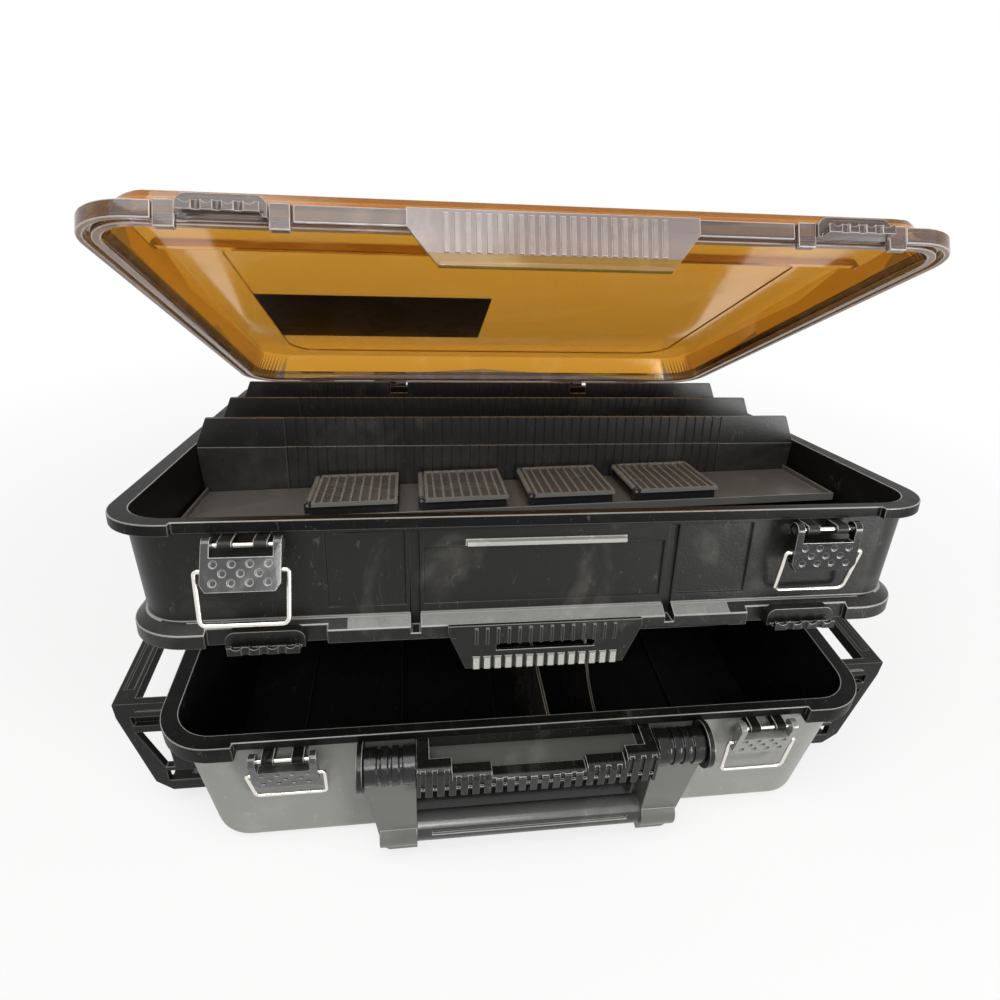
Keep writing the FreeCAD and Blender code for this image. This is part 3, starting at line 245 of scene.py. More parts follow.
def mouldedPlastic(name, look, closed):
    material, tree, shader, coords = startMaterial(name)
    vector = placed(tree, coords, closed)
    marks = groupWith(tree, handlingMarks,
                      {"Vector": vector, "Size": look["markSize"], "Spread": look["markSpread"]})
    edges = groupWith(tree, wornEdgesAndHighlight, {"Vector": vector, "Start": look["edgeStart"]})
    dust = groupWith(tree, settledDust, {"Vector": vector, "Size": look["dustSize"]})
    smudge = times(tree, marks["Smudge"], look["markShare"])
    colour = mixed(tree, smudge, rgba(look["colour"]), rgba(look["mark"]))
    colour = mixed(tree, times(tree, marks["Scratch"], look["scratchShare"]), colour, rgba(look["scratch"]))
    colour = mixed(tree, times(tree, dust["Dust"], look["dustShare"]), colour, rgba(look["dust"]))
    colour = mixed(tree, times(tree, edges["Edge"], look["edgeShare"]), colour, rgba(look["edge"]))
    if "shade" in look:  # painted shade: an edge finish that faces sideways or down is darkened towards its shade colour, one that faces up stays light
        colour = mixed(tree, ranged(tree, upwards(tree), *look["paintedShadeRange"]), rgba(look["shade"]), colour)
    rough = ranged(tree, marks["Smudge"], 0.0, 1.0, look["roughness"], look["markRoughness"])
    shader.inputs["Specular IOR Level"].default_value = look["specular"]
    grain = groupWith(tree, mouldGrain, {"Vector": vector, "Size": look["grainSize"]})
    coat(tree, shader, colour, rough, grain["Height"], look)
    return material


plainLook = {
    "colour": (0.014, 0.014, 0.0135), "mark": (0.060, 0.057, 0.050), "scratch": (0.11, 0.105, 0.095),
    "edge": (0.12, 0.115, 0.10), "dust": (0.05, 0.048, 0.042),
    "markSize": 16.0, "markSpread": 0.52, "markShare": 0.5, "scratchShare": 0.4,
    "edgeStart": 0.54, "edgeShare": 0.12, "dustSize": 60.0, "dustShare": 0.3, "paintedShadeRange": (0.05, 0.8),
    "roughness": 0.36, "markRoughness": 0.52, "specular": 0.42,
    "grainSize": 1100.0, "grainStrength": 0.25, "grainDepth": 0.0002,
}


def lookWith(**changes):
    return {**plainLook, **changes}


# the finishes for the bevel faces of rounded edges are pale painted highlights along the edges
looks = {
    # the tub's outer faces: its black plastic painted a light grey for the light that falls on them, a painted
    # light
    "tubOutsidePaintedLit": lookWith(
        colour=(0.195, 0.197, 0.180), mark=(0.28, 0.28, 0.26), scratch=(0.42, 0.42, 0.40),
        edge=(0.34, 0.34, 0.32), roughness=0.42, dustShare=0.0, specular=0.5),
    "tubInside": lookWith(
        colour=(0.0055, 0.0055, 0.0055), mark=(0.018, 0.018, 0.017), markShare=0.3, specular=0.18,
        roughness=0.45, dustShare=0.06, scratchShare=0.25),
    "caseOutside": lookWith(
        colour=(0.0078, 0.0076, 0.0070), mark=(0.070, 0.068, 0.058), markSpread=0.5, markShare=0.42,
        specular=0.24),
    # a painted sheen for the flange slope between the notches
    "flangePaintedSheen": lookWith(
        colour=(0.19, 0.19, 0.18), mark=(0.30, 0.30, 0.285), roughness=0.26, specular=0.5),
    "caseInside": lookWith(
        colour=(0.007, 0.007, 0.007), mark=(0.02, 0.02, 0.019), specular=0.2, markShare=0.35, dustShare=0.2),
    "caseRim": lookWith(
        colour=(0.0040, 0.0039, 0.0037), mark=(0.018, 0.0175, 0.016), roughness=0.40, markRoughness=0.5,
        dustShare=0.04, specular=0.08),
    "caseEdgeHighlight": lookWith(
        colour=(0.26, 0.256, 0.24), mark=(0.36, 0.355, 0.335), shade=(0.022, 0.0215, 0.020),
        roughness=0.28, specular=0.5, markShare=0.8, dustShare=0.0),
    "framePlastic": lookWith(
        colour=(0.0065, 0.0063, 0.006), mark=(0.03, 0.029, 0.026), dustShare=0.15, specular=0.16),
    "frameEdgeHighlight": lookWith(
        colour=(0.085, 0.083, 0.077), mark=(0.14, 0.137, 0.13), shade=(0.014, 0.0137, 0.013),
        roughness=0.28, specular=0.4, dustShare=0.0),
    "insertPlastic": lookWith(
        colour=(0.011, 0.011, 0.0108), mark=(0.036, 0.036, 0.034), roughness=0.34, markShare=0.35,
        specular=0.34, dust=(0.06, 0.06, 0.058)),
    "insertEdgeHighlight": lookWith(
        colour=(0.20, 0.20, 0.19), mark=(0.30, 0.30, 0.285), shade=(0.05, 0.05, 0.048),
        roughness=0.26, specular=0.5, dustShare=0.0),
    # the tray's own dark grey, lightened with a painted sheen for the top light on it
    "trayGreyAndSheen": lookWith(
        colour=(0.105, 0.107, 0.102), mark=(0.14, 0.142, 0.136), roughness=0.30, markShare=0.4,
        specular=0.5, dustShare=0.5, dust=(0.13, 0.13, 0.126)),
    "boxLidPlastic": lookWith(
        colour=(0.20, 0.203, 0.195), mark=(0.30, 0.30, 0.29), roughness=0.22, markRoughness=0.34,
        specular=0.55, dustShare=0.2, dust=(0.20, 0.20, 0.19)),
    "boxLidValley": lookWith(
        colour=(0.075, 0.077, 0.073), mark=(0.15, 0.15, 0.145), roughness=0.24, markRoughness=0.36,
        specular=0.5, dustShare=0.15),
    # the dividers painted lighter, and their rounded edges paler still, for the light that falls on them:
    # painted light and painted highlight
    "dividerPaintedLight": lookWith(
        colour=(0.060, 0.054, 0.047), mark=(0.14, 0.125, 0.105), roughness=0.26, markShare=0.6,
        specular=0.5, dustShare=0.2),
    "dividerEdgeHighlight": lookWith(
        colour=(0.40, 0.34, 0.27), mark=(0.50, 0.44, 0.37), roughness=0.3, dustShare=0.0),
    "handleSatin": lookWith(
        colour=(0.088, 0.088, 0.080), mark=(0.14, 0.14, 0.13), roughness=0.33, dustShare=0.1, specular=0.5),
    "handleEdgeHighlight": lookWith(
        colour=(0.26, 0.26, 0.245), mark=(0.36, 0.36, 0.34), shade=(0.08, 0.08, 0.073),
        roughness=0.28, dustShare=0.0, specular=0.5),
    "knuckleGloss": lookWith(
        colour=(0.006, 0.006, 0.0056), mark=(0.03, 0.03, 0.028), roughness=0.16, dustShare=0.05,
        specular=0.4),
    # a painted sheen for the faces of the grip that face up
    "gripPaintedSheen": lookWith(
        colour=(0.10, 0.099, 0.097), mark=(0.17, 0.168, 0.165), roughness=0.18, markRoughness=0.30,
        dustShare=0.1, specular=0.6),
    "gripGloss": lookWith(
        colour=(0.016, 0.0156, 0.015), mark=(0.05, 0.05, 0.048), roughness=0.18, markRoughness=0.30,
        dustShare=0.1, specular=0.6),
    "baseGloss": lookWith(
        colour=(0.0055, 0.0055, 0.005), mark=(0.04, 0.04, 0.036), roughness=0.22, markRoughness=0.36,
        specular=0.28, dustShare=0.12),
    # a pale painted highlight standing in for the light that the comb teeth and the ledge bar reflect
    "paintedPaleHighlight": lookWith(
        colour=(0.30, 0.295, 0.27), mark=(0.44, 0.43, 0.40), markShare=0.8, markSize=60.0, roughness=0.26,
        dustShare=0.0, specular=0.5),
    "latchDark": lookWith(
        colour=(0.006, 0.006, 0.0058), mark=(0.03, 0.03, 0.028), roughness=0.12, markRoughness=0.22,
        specular=0.45, grainStrength=0.06, dustShare=0.04),
    # lighter copies of the black lever plastic: painted light for the levers that catch the lamps, the palest
    # for the lower right lever
    "latchPaintedHalfLit": lookWith(
        colour=(0.030, 0.0305, 0.030), mark=(0.09, 0.09, 0.087), roughness=0.12, markRoughness=0.22,
        markShare=0.8, specular=0.65, grainStrength=0.06, dustShare=0.04),
    "latchPaintedLit": lookWith(
        colour=(0.17, 0.171, 0.155), mark=(0.26, 0.26, 0.24), roughness=0.16, markRoughness=0.26,
        specular=0.65, grainStrength=0.06, dustShare=0.04),
    "latchEdgeHighlight": lookWith(
        colour=(0.26, 0.26, 0.25), mark=(0.42, 0.42, 0.40), shade=(0.07, 0.07, 0.067), roughness=0.16,
        specular=0.7, markShare=0.8, dustShare=0.0),
}
caseFinishes = ("case", "flange", "insert", "tray", "boxLid")  # their marks turn with the upper case
materials = {}
for name, look in looks.items():
    materials[name] = mouldedPlastic(name, look, caseClosed if name.startswith(caseFinishes) else tubPlace)


def clearWith(**changes):
    plain = {"markSpread": 0.5, "edgeStart": 0.53, "edge": (0.85, 0.78, 0.7), "edgeShare": 0.35, "ior": 1.46,
             "waveSize": 22.0, "waveDetail": 1.0, "grainStrength": 0.03, "grainDepth": 0.0004}
    return {**plain, **changes}


clearLooks = {
    "amberPanel": clearWith(colour=(0.73, 0.355, 0.042), second=(0.82, 0.45, 0.09), through=0.86,
                            roughness=0.10, markRoughness=0.22, markSize=12.0),
    "amberEdge": clearWith(colour=(0.50, 0.19, 0.015), second=(0.60, 0.27, 0.05), through=0.80,
                           roughness=0.12, markRoughness=0.26, markSize=14.0),
    # a painted highlight for the bevel faces of the lid's rounded edges
    "clearEdgeHighlight": clearWith(colour=(0.60, 0.53, 0.51), second=(0.42, 0.32, 0.25), through=0.45,
                           roughness=0.10, markRoughness=0.24, markSize=40.0),
    "smokeRim": clearWith(colour=(0.22, 0.17, 0.155), second=(0.38, 0.31, 0.29), through=0.72,
                          roughness=0.08, markRoughness=0.20, markSize=30.0),
    "brownRim": clearWith(colour=(0.20, 0.095, 0.028), second=(0.34, 0.20, 0.09), through=0.72,
                          roughness=0.08, markRoughness=0.20, markSize=26.0),
    "smokeSkirt": clearWith(colour=(0.40, 0.335, 0.325), second=(0.54, 0.46, 0.44), through=0.60,
                            roughness=0.10, markRoughness=0.20, markSize=30.0),
    "oliveLip": clearWith(colour=(0.44, 0.28, 0.045), second=(0.58, 0.42, 0.13), through=0.70,
                          roughness=0.10, markRoughness=0.22, markSize=24.0),
    "smokeCatch": clearWith(colour=(0.15, 0.115, 0.10), second=(0.28, 0.22, 0.20), through=0.66,
                            roughness=0.08, markRoughness=0.20, markSize=36.0),
}


def clearPlastic(name, look):
    material, tree, shader, coords = startMaterial(name)
    vector = placed(tree, coords, lidClosed)
    marks = groupWith(tree, handlingMarks,
                      {"Vector": vector, "Size": look["markSize"], "Spread": look["markSpread"]})
    edges = groupWith(tree, wornEdgesAndHighlight, {"Vector": vector, "Start": look["edgeStart"]})
    colour = mixed(tree, marks["Smudge"], rgba(look["colour"]), rgba(look["second"]))
    colour = mixed(tree, times(tree, edges["Edge"], look["edgeShare"]), colour, rgba(look["edge"]))
    rough = ranged(tree, marks["Smudge"], 0.0, 1.0, look["roughness"], look["markRoughness"])
    shader.inputs["Transmission Weight"].default_value = look["through"]
    shader.inputs["IOR"].default_value = look["ior"]
    coat(tree, shader, colour, rough, noisy(tree, vector, look["waveSize"], look["waveDetail"]), look)
    return material


for name, look in clearLooks.items():
    materials[name] = clearPlastic(name, look)

steelLook = {"colour": (0.78, 0.75, 0.69), "second": (0.42, 0.39, 0.34), "secondShare": 0.6,
             "roughness": 0.20, "markRoughness": 0.42, "markSize": 70.0, "markSpread": 0.56,
             "lineSize": 1500.0, "lineDetail": 2.0, "grainStrength": 0.15, "grainDepth": 0.0001}
pinLook = {**steelLook, "colour": (0.05, 0.048, 0.045), "second": (0.02, 0.019, 0.018), "roughness": 0.35,
           "markRoughness": 0.5}


def drawnSteel(name, look):
    material, tree, shader, coords = startMaterial(name)
    marks = groupWith(tree, handlingMarks,
                      {"Vector": coords, "Size": look["markSize"], "Spread": look["markSpread"]})
    share = times(tree, marks["Smudge"], look["secondShare"])
    colour = mixed(tree, share, rgba(look["colour"]), rgba(look["second"]))
    rough = ranged(tree, marks["Smudge"], 0.0, 1.0, look["roughness"], look["markRoughness"])
    shader.inputs["Metallic"].default_value = 1.0
    coat(tree, shader, colour, rough, noisy(tree, coords, look["lineSize"], look["lineDetail"]), look)
    return material


materials["drawnSteel"] = drawnSteel("drawnSteel", steelLook)
materials["darkSteel"] = drawnSteel("darkSteel", pinLook)

labelLook = {"colour": (0.015, 0.006, 0.003), "second": (0.032, 0.013, 0.006), "roughness": 0.3,
             "markRoughness": 0.5, "markSize": 26.0, "markSpread": 0.48, "grainSize": 700.0,
             "grainStrength": 0.12, "grainDepth": 0.0001}


def labelFilm(name, look):
    material, tree, shader, coords = startMaterial(name)
    vector = placed(tree, coords, lidClosed)
    marks = groupWith(tree, handlingMarks,
                      {"Vector": vector, "Size": look["markSize"], "Spread": look["markSpread"]})
    colour = mixed(tree, marks["Smudge"], rgba(look["colour"]), rgba(look["second"]))
    rough = ranged(tree, marks["Smudge"], 0.0, 1.0, look["roughness"], look["markRoughness"])
    grain = groupWith(tree, mouldGrain, {"Vector": vector, "Size": look["grainSize"]})
    coat(tree, shader, colour, rough, grain["Height"], look)
    return material


materials["labelFilm"] = labelFilm("labelFilm", labelLook)
print("materials made:", len(materials))


def nowhere(point):
    return False


def everywhere(point):
    return True


# what holds for a rounded piece unless its own look says otherwise; lengths in metres, angles in degrees
plainRounding = {"mergeWithin": 0.00001, "flatWithin": 0.8, "sharpFrom": 32, "narrowest": 14,
                 "thinnest": 0.00006, "steps": 2, "smooth": 38, "cuts": [], "apart": nowhere,
                 "loose": nowhere, "sectors": 4, "looseGroups": 11}


def selectOnly(piece):
    bpy.ops.object.select_all(action="DESELECT")
    piece.select_set(True)
    bpy.context.view_layer.objects.active = piece


def faceWidth(face):
    return 2 * face.calc_area() / max(edge.calc_length() for edge in face.edges)


# weights the sharp edges for the bevel, apart from those of slivers, where it would throw a spike
def markEdges(piece, look):
    shape = bmesh.new()
    shape.from_mesh(piece.data)
    weight = shape.edges.layers.float.new("bevel_weight_edge")
    sharpFrom = math.radians(look["sharpFrom"])
    narrowest = math.radians(look["narrowest"])
    marked = set()
    for edge in shape.edges:
        if len(edge.link_faces) == 2 and edge.calc_face_angle(0) > sharpFrom \
                and min(faceWidth(face) for face in edge.link_faces) > look["thinnest"]:
            marked.add(edge)
    for vertex in shape.verts:  # of two edges that part at a very narrow angle, the shorter stays sharp
        meeting = sorted((edge for edge in vertex.link_edges if edge in marked),
                         key=lambda edge: -edge.calc_length())
        for place, edge in enumerate(meeting):
            along = edge.other_vert(vertex).co - vertex.co
            if any((other.other_vert(vertex).co - vertex.co).angle(along) < narrowest
                   for other in meeting[:place]):
                marked.discard(edge)
    for edge in marked:
        edge[weight] = 1.0
    shape.to_mesh(piece.data)
    shape.free()


# faces lie in four sectors, so that no flat ring is merged into one face; those apart have four
# sectors of their own, and loose ones differ from their neighbours and keep their triangles
def partFaces(piece, node, look):
    low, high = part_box(node)
    middle = (low + high) / 2
    for face in piece.data.polygons:
        face.material_index = (1 if face.center.x > middle.x else 0) + (2 if face.center.y > middle.y else 0)
        if look["apart"](face.center):
            face.material_index += look["sectors"]
        if look["loose"](face.center):
            face.material_index = 2 * look["sectors"] + face.index % look["looseGroups"]


def roundedPiece(node, ownLook):
    look = {**plainRounding, **ownLook}
    source = frame["nodes"][node]
    piece = source.copy()
    piece.data = source.data.copy()
    piece.parent = None
    piece.name = node + "_moulded"
    bpy.context.collection.objects.link(piece)
    piece.data.materials.clear()
    for name in look["materials"] + ([look["edge"]] if "edge" in look else []):
        piece.data.materials.append(materials[name])
    selectOnly(piece)
    bpy.ops.object.mode_set(mode="EDIT")
    bpy.ops.mesh.select_all(action="SELECT")
    bpy.ops.mesh.remove_doubles(threshold=look["mergeWithin"])
    for place, across in look["cuts"]:
        bpy.ops.mesh.select_all(action="SELECT")
        bpy.ops.mesh.bisect(plane_co=place, plane_no=across)
    bpy.ops.object.mode_set(mode="OBJECT")
    partFaces(piece, node, look)
    bpy.ops.object.mode_set(mode="EDIT")
    bpy.ops.mesh.select_all(action="SELECT")
    if look["round"]:
        bpy.ops.mesh.dissolve_limited(angle_limit=math.radians(look["flatWithin"]), delimit={"MATERIAL"})
    bpy.ops.object.mode_set(mode="OBJECT")
    for face in piece.data.polygons:
        face.material_index = 0
    if piece.data.has_custom_normals:
        bpy.ops.mesh.customdata_custom_splitnormals_clear()
    if look["round"]:
        markEdges(piece, look)
        bevel = piece.modifiers.new("edgeRound", "BEVEL")
        bevel.width = look["round"]
        bevel.segments = look["steps"]
        bevel.limit_method = "WEIGHT"
        bevel.use_clamp_overlap = False
        # the bevel faces take the piece's painted highlight finish
        if "edge" in look:
            bevel.material = len(look["materials"])
        bpy.ops.object.modifier_apply(modifier="edgeRound")
    bpy.ops.object.shade_smooth_by_angle(angle=math.radians(look["smooth"]))
    weighted = piece.modifiers.new("evenShading", "WEIGHTED_NORMAL")
    weighted.keep_sharp = True
    bpy.ops.object.modifier_apply(modifier="evenShading")
    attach(piece, bodyOfNode[node])
    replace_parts(piece, node)
    return piece


# gives the faces that pass the test another finish; rounded edges keep their painted highlight unless edges is
# set
def colourFaces(piece, finish, test, edges=False):
    index = piece.data.materials.find(finish)
    edgeIndex = len(piece.data.materials) - 1
    for face in piece.data.polygons:
        if (edges or face.material_index != edgeIndex) and test(face.center, face.normal):
            face.material_index = index


# how far a point stands outside a box with round upright corners, below 0 inside it
def shellDepth(point, halfX, halfY, corner):
    qx = abs(point.x) - (halfX - corner)
    qy = abs(point.y) - (halfY - corner)
    return math.hypot(max(qx, 0), max(qy, 0)) + min(max(qx, qy), 0) - corner


tubLook = {
    "round": 0.0006, "materials": ["tubOutsidePaintedLit", "tubInside", "caseRim", "baseGloss"], "edge": "caseEdgeHighlight",
    "recessHalf": 0.0685, "recessFoot": 0.010, "recessFront": -0.155,
    "halfX": 0.2017, "halfY": 0.1662, "draftX": 0.010, "draftY": 0.003, "corner": 0.024,
    "height": 0.0956, "rimBelow": 0.0065, "lipBelow": 0.0008, "floor": 0.0025,
    "hookFront": -0.1722, "hookFoot": 0.0780,
}


def inTub(point, normal):
    share = 1 - point.z / tubLook["height"]
    halfX = tubLook["halfX"] - tubLook["draftX"] * share
    halfY = tubLook["halfY"] - tubLook["draftY"] * share
    return shellDepth(point, halfX, halfY, tubLook["corner"]) < 0 \
        and tubLook["floor"] < point.z < tubLook["height"] - tubLook["lipBelow"]


def inRecess(point):
    return abs(point.x) < tubLook["recessHalf"] and point.y < tubLook["recessFront"] \
        and point.z > tubLook["recessFoot"]


def onTubRim(point, normal):
    return point.z > tubLook["height"] - tubLook["rimBelow"] \
        or (point.y < tubLook["hookFront"] and point.z > tubLook["hookFoot"])


tubLook["cuts"] = [((side * tubLook["recessHalf"], 0, 0), (1, 0, 0)) for side in (-1, 1)]
tubLook["cuts"].append(((0, 0, tubLook["recessFoot"]), (0, 0, 1)))
tubLook["apart"] = inRecess
tubPiece = roundedPiece("tub_shell", tubLook)
# the handle recess, the rim with the latch hooks and the inside keep dark plastic colours, without the painted
# light of the outer walls
colourFaces(tubPiece, "baseGloss", lambda point, normal: inRecess(point))
colourFaces(tubPiece, "caseRim", onTubRim)
colourFaces(tubPiece, "tubInside", inTub, edges=True)

caseLook = {
    "round": 0.0006, "materials": ["caseOutside", "caseInside", "caseRim", "flangePaintedSheen", "paintedPaleHighlight"],
    "edge": "caseEdgeHighlight",
    "halfX": 0.2062, "halfY": 0.1657, "draftX": 0.0045, "corner": 0.024, "base": 0.0985, "top": 0.1618,
    "rimBelow": 0.0066, "lipBelow": 0.0008,
    "flangeTop": 0.1076, "sheenHalf": 0.1010, "sheenFrom": 0.25, "sheenTo": 0.97,
    "wallFront": -0.1682, "wallBack": -0.1610, "wallProud": -0.1722, "wallAbove": 0.0012, "wallBelow": 0.001,
    "ledge": 0.1074, "ledgeWithin": 0.0003,
    "panelHalf": 0.070, "panelFoot": 0.1420, "panelHead": 0.1555,
    "barHalf": 0.0417, "barFoot": 0.1443, "barHead": 0.1480,
}


def inCase(point, normal):
    closed = caseClosed @ point
    share = (caseLook["top"] - closed.z) / (caseLook["top"] - caseLook["base"])
    halfX = caseLook["halfX"] - caseLook["draftX"] * share
    return shellDepth(closed, halfX, caseLook["halfY"], caseLook["corner"]) < 0 \
        and caseLook["base"] < closed.z < caseLook["top"] - caseLook["lipBelow"]


# the narrow ledge over the flange, and the front panel around the bar
def onLedge(point):
    closed = caseClosed @ point
    onPanel = abs(closed.x) < caseLook["panelHalf"] and closed.y < 0 \
        and caseLook["panelFoot"] < closed.z < caseLook["panelHead"]
    return onPanel or abs(closed.z - caseLook["ledge"]) < caseLook["ledgeWithin"]


def onBar(point, normal):
    closed = caseClosed @ point
    return abs(closed.x) < caseLook["barHalf"] and closed.y < caseLook["wallBack"] \
        and caseLook["barFoot"] < closed.z < caseLook["barHead"]


def onFlangeSlope(point, normal):
    closed = caseClosed @ point
    upward = (caseClosed.to_3x3() @ normal).z
    return closed.z < caseLook["flangeTop"] and closed.y < caseLook["wallFront"] \
        and caseLook["sheenFrom"] < upward < caseLook["sheenTo"] and abs(point.x) < caseLook["sheenHalf"]


def onCaseRim(point, normal):
    return (caseClosed @ point).z > caseLook["top"] - caseLook["rimBelow"]


def onCaseWall(point, normal):
    closed = caseClosed @ point
    wallFoot = caseLook["flangeTop"] + caseLook["wallAbove"]
    wallHead = caseLook["top"] - caseLook["rimBelow"] - caseLook["wallBelow"]
    return wallFoot < closed.z < wallHead and caseLook["wallProud"] < closed.y < caseLook["wallBack"]


caseLook["cuts"] = [((side * caseLook["sheenHalf"], 0, 0), (1, 0, 0)) for side in (-1, 1)]
caseLook["apart"] = lambda point: abs(point.x) < caseLook["sheenHalf"]
caseLook["loose"] = onLedge
casePiece = roundedPiece("upper_case_shell", caseLook)
colourFaces(casePiece, "caseRim", onCaseRim)
colourFaces(casePiece, "caseInside", inCase, edges=True)
# the flange slope between the notches gets the painted sheen
colourFaces(casePiece, "flangePaintedSheen", onFlangeSlope)
colourFaces(casePiece, "caseOutside", onCaseWall, edges=True)
# the ledge bar gets the pale painted highlight
colourFaces(casePiece, "paintedPaleHighlight", onBar, edges=True)

lidLook = {
    "round": 0.0006, "thinnest": 0.00025, "loose": everywhere,
    "materials": ["amberPanel", "smokeRim", "amberEdge", "brownRim"], "edge": "clearEdgeHighlight",
    "rimTop": 0.1703, "sideFrom": 0.200, "frontY": -0.165, "brownFrom": 0.190,
}


def overRim(point, normal):
    return (lidClosed @ point).z > lidLook["rimTop"]


def onLidSide(point, normal):
    outer = abs(point.x) > lidLook["sideFrom"] or (lidClosed @ point).y < lidLook["frontY"]
    return outer and overRim(point, normal)


lidPiece = roundedPiece("lid_shell", lidLook)
colourFaces(lidPiece, "amberPanel", overRim, edges=True)
colourFaces(lidPiece, "amberEdge", onLidSide, edges=True)
colourFaces(lidPiece, "smokeRim", lambda point, normal: not overRim(point, normal))
colourFaces(lidPiece, "brownRim",
            lambda point, normal: not overRim(point, normal) and abs(point.x) > lidLook["brownFrom"])

handleLook = {"round": 0.0005, "materials": ["handleSatin", "knuckleGloss"], "edge": "handleEdgeHighlight",
              "knuckleFoot": 0.0700}
handlePiece = roundedPiece("handle_frame", handleLook)
colourFaces(handlePiece, "knuckleGloss", lambda point, normal: point.z > handleLook["knuckleFoot"], edges=True)

skirtLook = {"round": 0.0004, "materials": ["smokeSkirt", "oliveLip"], "edge": "clearEdgeHighlight", "lipTop": 0.1502}
skirtLook["cuts"] = [(lidOpen @ Vector((0, 0, skirtLook["lipTop"])), lidOpen.to_3x3() @ Vector((0, 0, 1)))]
skirtLook["apart"] = lambda point: (lidClosed @ point).z < skirtLook["lipTop"]
skirtPiece = roundedPiece("lid_skirt", skirtLook)
colourFaces(skirtPiece, "oliveLip", lambda point, normal: skirtLook["apart"](point), edges=True)

combLook = {"round": 0.0003, "materials": ["baseGloss", "paintedPaleHighlight"], "edge": "caseEdgeHighlight",
            "toothTop": 0.0858, "toothDepth": 0.0006}
combPiece = roundedPiece("comb_skirt", combLook)
combFront = min((caseClosed @ vertex.co).y for vertex in combPiece.data.vertices)


def onTooth(point, normal):
    closed = caseClosed @ point
    return closed.z < combLook["toothTop"] and closed.y < combFront + combLook["toothDepth"]


# the comb teeth get the pale painted highlight
colourFaces(combPiece, "paintedPaleHighlight", onTooth)

partitionLook = {"round": 0.00015, "loose": everywhere, "steps": 1, "materials": ["insertPlastic"],
                 "edge": "insertEdgeHighlight"}
for place in ("front", "middle", "rear"):
    roundedPiece("partition_" + place, partitionLook)

# the tray rests tipped by 1.5 degrees, and its boxes with it, so their lids have an upward of their own
boxLidLook = {"round": 0, "smooth": 30, "materials": ["boxLidValley", "boxLidPlastic"], "ribDepth": 0.0003,
              "upward": (-0.02618, 0, 0.99966), "flatFrom": 0.9}
boxLidUp = caseOpen.to_3x3() @ Vector(boxLidLook["upward"])
boxNumbers = (1, 2, 3, 4)
for number in boxNumbers:
    ribbed = roundedPiece("small_box_lid_%d" % number, boxLidLook)
    ribFoot = max(vertex.co.dot(boxLidUp) for vertex in ribbed.data.vertices) - boxLidLook["ribDepth"]
    colourFaces(ribbed, "boxLidPlastic", lambda point, normal: point.dot(boxLidUp) > ribFoot
                or normal.dot(boxLidUp) < boxLidLook["flatFrom"], edges=True)

baseLook = {"round": 0.0004, "loose": everywhere, "materials": ["baseGloss", "handleSatin"],
            "edge": "caseEdgeHighlight", "ribBack": -0.1835, "half": 0.0610}
basePiece = roundedPiece("handle_base", baseLook)
colourFaces(basePiece, "handleSatin",
            lambda point, normal: point.y > baseLook["ribBack"] and abs(point.x) < baseLook["half"])

gripLook = {"round": 0.0004, "materials": ["gripGloss", "gripPaintedSheen"], "edge": "handleEdgeHighlight", "upward": 0.62}
gripPiece = roundedPiece("handle_grip", gripLook)
# the faces of the grip that face up get the painted sheen
colourFaces(gripPiece, "gripPaintedSheen", lambda point, normal: normal.z > gripLook["upward"])

# pieces with one finish, and most with a painted highlight for their edges
frameLook = {"round": 0.0007, "materials": ["framePlastic"], "edge": "frameEdgeHighlight"}
dividerLook = {"round": 0.0003, "materials": ["dividerPaintedLight"], "edge": "dividerEdgeHighlight"}
keeperLook = {"round": 0.0003, "loose": everywhere, "materials": ["caseOutside"], "edge": "caseEdgeHighlight"}
catchLook = {"round": 0.0003, "loose": everywhere, "materials": ["smokeCatch"], "edge": "clearEdgeHighlight"}
leverLook = {"round": 0.00035, "edge": "latchEdgeHighlight"}
boxLook = {"round": 0.00025, "materials": ["insertPlastic"], "edge": "insertEdgeHighlight"}
bailLook = {"round": 0, "smooth": 60, "materials": ["drawnSteel"]}
otherPieces = {
    "side_frame_left": frameLook,
    "side_frame_right": frameLook,
    "tub_divider": dividerLook,
    "tub_divider_curved": dividerLook,
    "parts_tray": {"round": 0.0004, "materials": ["trayGreyAndSheen"], "edge": "insertEdgeHighlight"},
    "keeper_left": keeperLook,
    "keeper_right": keeperLook,
    "lid_catch_left": catchLook,
    "lid_catch_right": catchLook,
    # the four levers are one black plastic; the lighter finishes on three of them are painted light
    "upper_latch_lever_left": {**leverLook, "materials": ["latchPaintedHalfLit"]},
    "upper_latch_lever_right": {**leverLook, "materials": ["latchDark"]},
    "lower_latch_lever_left": {**leverLook, "materials": ["latchPaintedHalfLit"]},
    "lower_latch_lever_right": {**leverLook, "materials": ["latchPaintedLit"]},
}
for number in boxNumbers:
    otherPieces["small_box_%d" % number] = boxLook
for stage in ("lower", "upper"):
    for side in ("left", "right"):
        otherPieces["%s_latch_bail_%s" % (stage, side)] = bailLook
for node, look in otherPieces.items():
    roundedPiece(node, look)
replaced = {node for piece in bpy.data.objects for node in piece.get("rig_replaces", [])}
print("pieces rounded:", len(replaced))

# rods, pins and the label keep their CAD objects and only get a finish
keptFinishes = {"steel": "drawnSteel", "label": "labelFilm"}
for node, piece in frame["nodes"].items():
    if node in replaced:
        continue
    for place in piece.material_slots:
        place.material = materials["darkSteel" if "pin" in node else keptFinishes[slotOfNode[node]]]
    print("kept:", node)

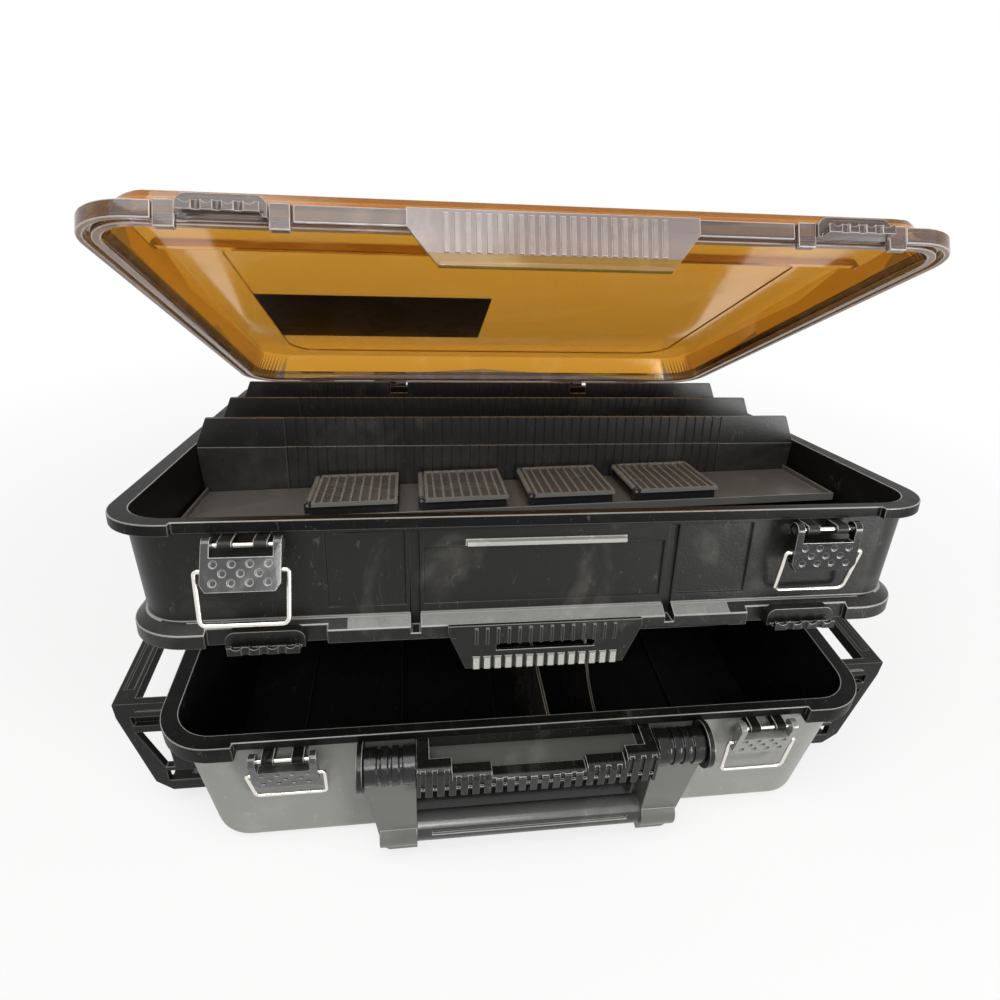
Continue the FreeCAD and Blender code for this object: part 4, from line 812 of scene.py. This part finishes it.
# a floor and sky that look white but light the box less than they show, and three soft lamps
studio = {"floorSize": 12.0, "floorColour": (0.82, 0.82, 0.81), "floorRoughness": 0.9, "patchSize": 3.0,
          "patchDetail": 3.0, "patchShade": 0.99, "glow": 1.0, "whiteShare": 0.72, "whiteFrom": 0.3,
          "whiteTo": 0.95, "skyLevel": 0.36}
lamps = {
    "softboxAbove": {"place": (-0.3, -0.5, 1.5), "target": (0, 0, 0.1), "size": (1.2, 0.9), "power": 12.0},
    "softboxRight": {"place": (0.95, -1.15, 0.30), "target": (0.10, -0.15, 0.06), "size": (0.5, 0.6),
                     "power": 13.0},
    "softboxFront": {"place": (-0.10, -1.0, 0.95), "target": (-0.02, -0.1, 0.15), "size": (0.45, 0.35),
                     "power": 4.5},
}


# 1 for a ray of the camera, also after the clear plastic or a gloss, and 0 for one that only lights
def seenRays(tree):
    path = tree.nodes.new("ShaderNodeLightPath").outputs
    direct = maths(tree, "MAXIMUM", path["Is Camera Ray"], path["Is Transmission Ray"])
    return maths(tree, "MAXIMUM", direct, path["Is Glossy Ray"])


def makeFloor():
    bpy.ops.object.select_all(action="DESELECT")
    bpy.ops.mesh.primitive_plane_add(size=studio["floorSize"], location=(0, 0, 0))
    floor = bpy.context.active_object
    floor.name = "studioFloor"
    material, tree, shader, coords = startMaterial("studioFloor")
    noise = noisy(tree, coords, studio["patchSize"], studio["patchDetail"])
    pale = studio["floorColour"]
    shaded = [channel * studio["patchShade"] for channel in pale]
    tree.links.new(mixed(tree, noise, rgba(pale), rgba(shaded)), shader.inputs["Base Color"])
    shader.inputs["Roughness"].default_value = studio["floorRoughness"]
    glow = put(tree, "ShaderNodeEmission", {"Color": (1, 1, 1, 1), "Strength": studio["glow"]})
    middle = put(tree, "ShaderNodeVectorMath", {0: coords}, operation="LENGTH").outputs["Value"]
    white = ranged(tree, middle, studio["whiteFrom"], studio["whiteTo"], studio["whiteShare"], 1.0)
    share = times(tree, seenRays(tree), white)
    mix = put(tree, "ShaderNodeMixShader", {0: share, 1: shader.outputs[0], 2: glow.outputs[0]})
    tree.links.new(mix.outputs[0], tree.nodes["Material Output"].inputs["Surface"])
    floor.data.materials.append(material)


def makeSky():
    world = bpy.data.worlds.new("studioSky")
    bpy.context.scene.world = world
    world.use_nodes = True
    tree = world.node_tree
    background = tree.nodes["Background"]
    background.inputs["Color"].default_value = (1, 1, 1, 1)
    spread = {"Value": seenRays(tree), "To Min": studio["skyLevel"], "To Max": 1.0}
    level = put(tree, "ShaderNodeMapRange", spread)
    tree.links.new(level.outputs["Result"], background.inputs["Strength"])


def softLamp(name, look):
    bpy.ops.object.select_all(action="DESELECT")
    bpy.ops.object.light_add(type="AREA", location=look["place"])
    lamp = bpy.context.active_object
    lamp.name = name
    aim = Vector(look["target"]) - Vector(look["place"])
    lamp.rotation_euler = aim.to_track_quat("-Z", "Y").to_euler()
    lamp.data.shape = "RECTANGLE"
    lamp.data.size, lamp.data.size_y = look["size"]
    lamp.data.energy = look["power"]


makeFloor()
makeSky()
for name, look in lamps.items():
    softLamp(name, look)

cameraLook = {"place": (-0.0672, -0.4247, 0.3961), "turn": -8.69, "tilt": -30.63, "roll": -3.34,
              "level": 90, "lens": 23.86, "sensor": 36.0, "clipStart": 0.01}
bpy.ops.object.select_all(action="DESELECT")
bpy.ops.object.camera_add(location=cameraLook["place"])
camera = bpy.context.active_object
aim = Matrix.Identity(3)
for angle, axis in (("turn", "Z"), ("tilt", "X"), ("roll", "Y"), ("level", "X")):
    aim = aim @ Matrix.Rotation(math.radians(cameraLook[angle]), 3, axis)
camera.rotation_euler = aim.to_euler()
camera.data.lens = cameraLook["lens"]
camera.data.sensor_width = cameraLook["sensor"]
camera.data.clip_start = cameraLook["clipStart"]
bpy.context.scene.camera = camera
bpy.context.scene.view_settings.view_transform = "Standard"
print("floor, lights and camera ready")
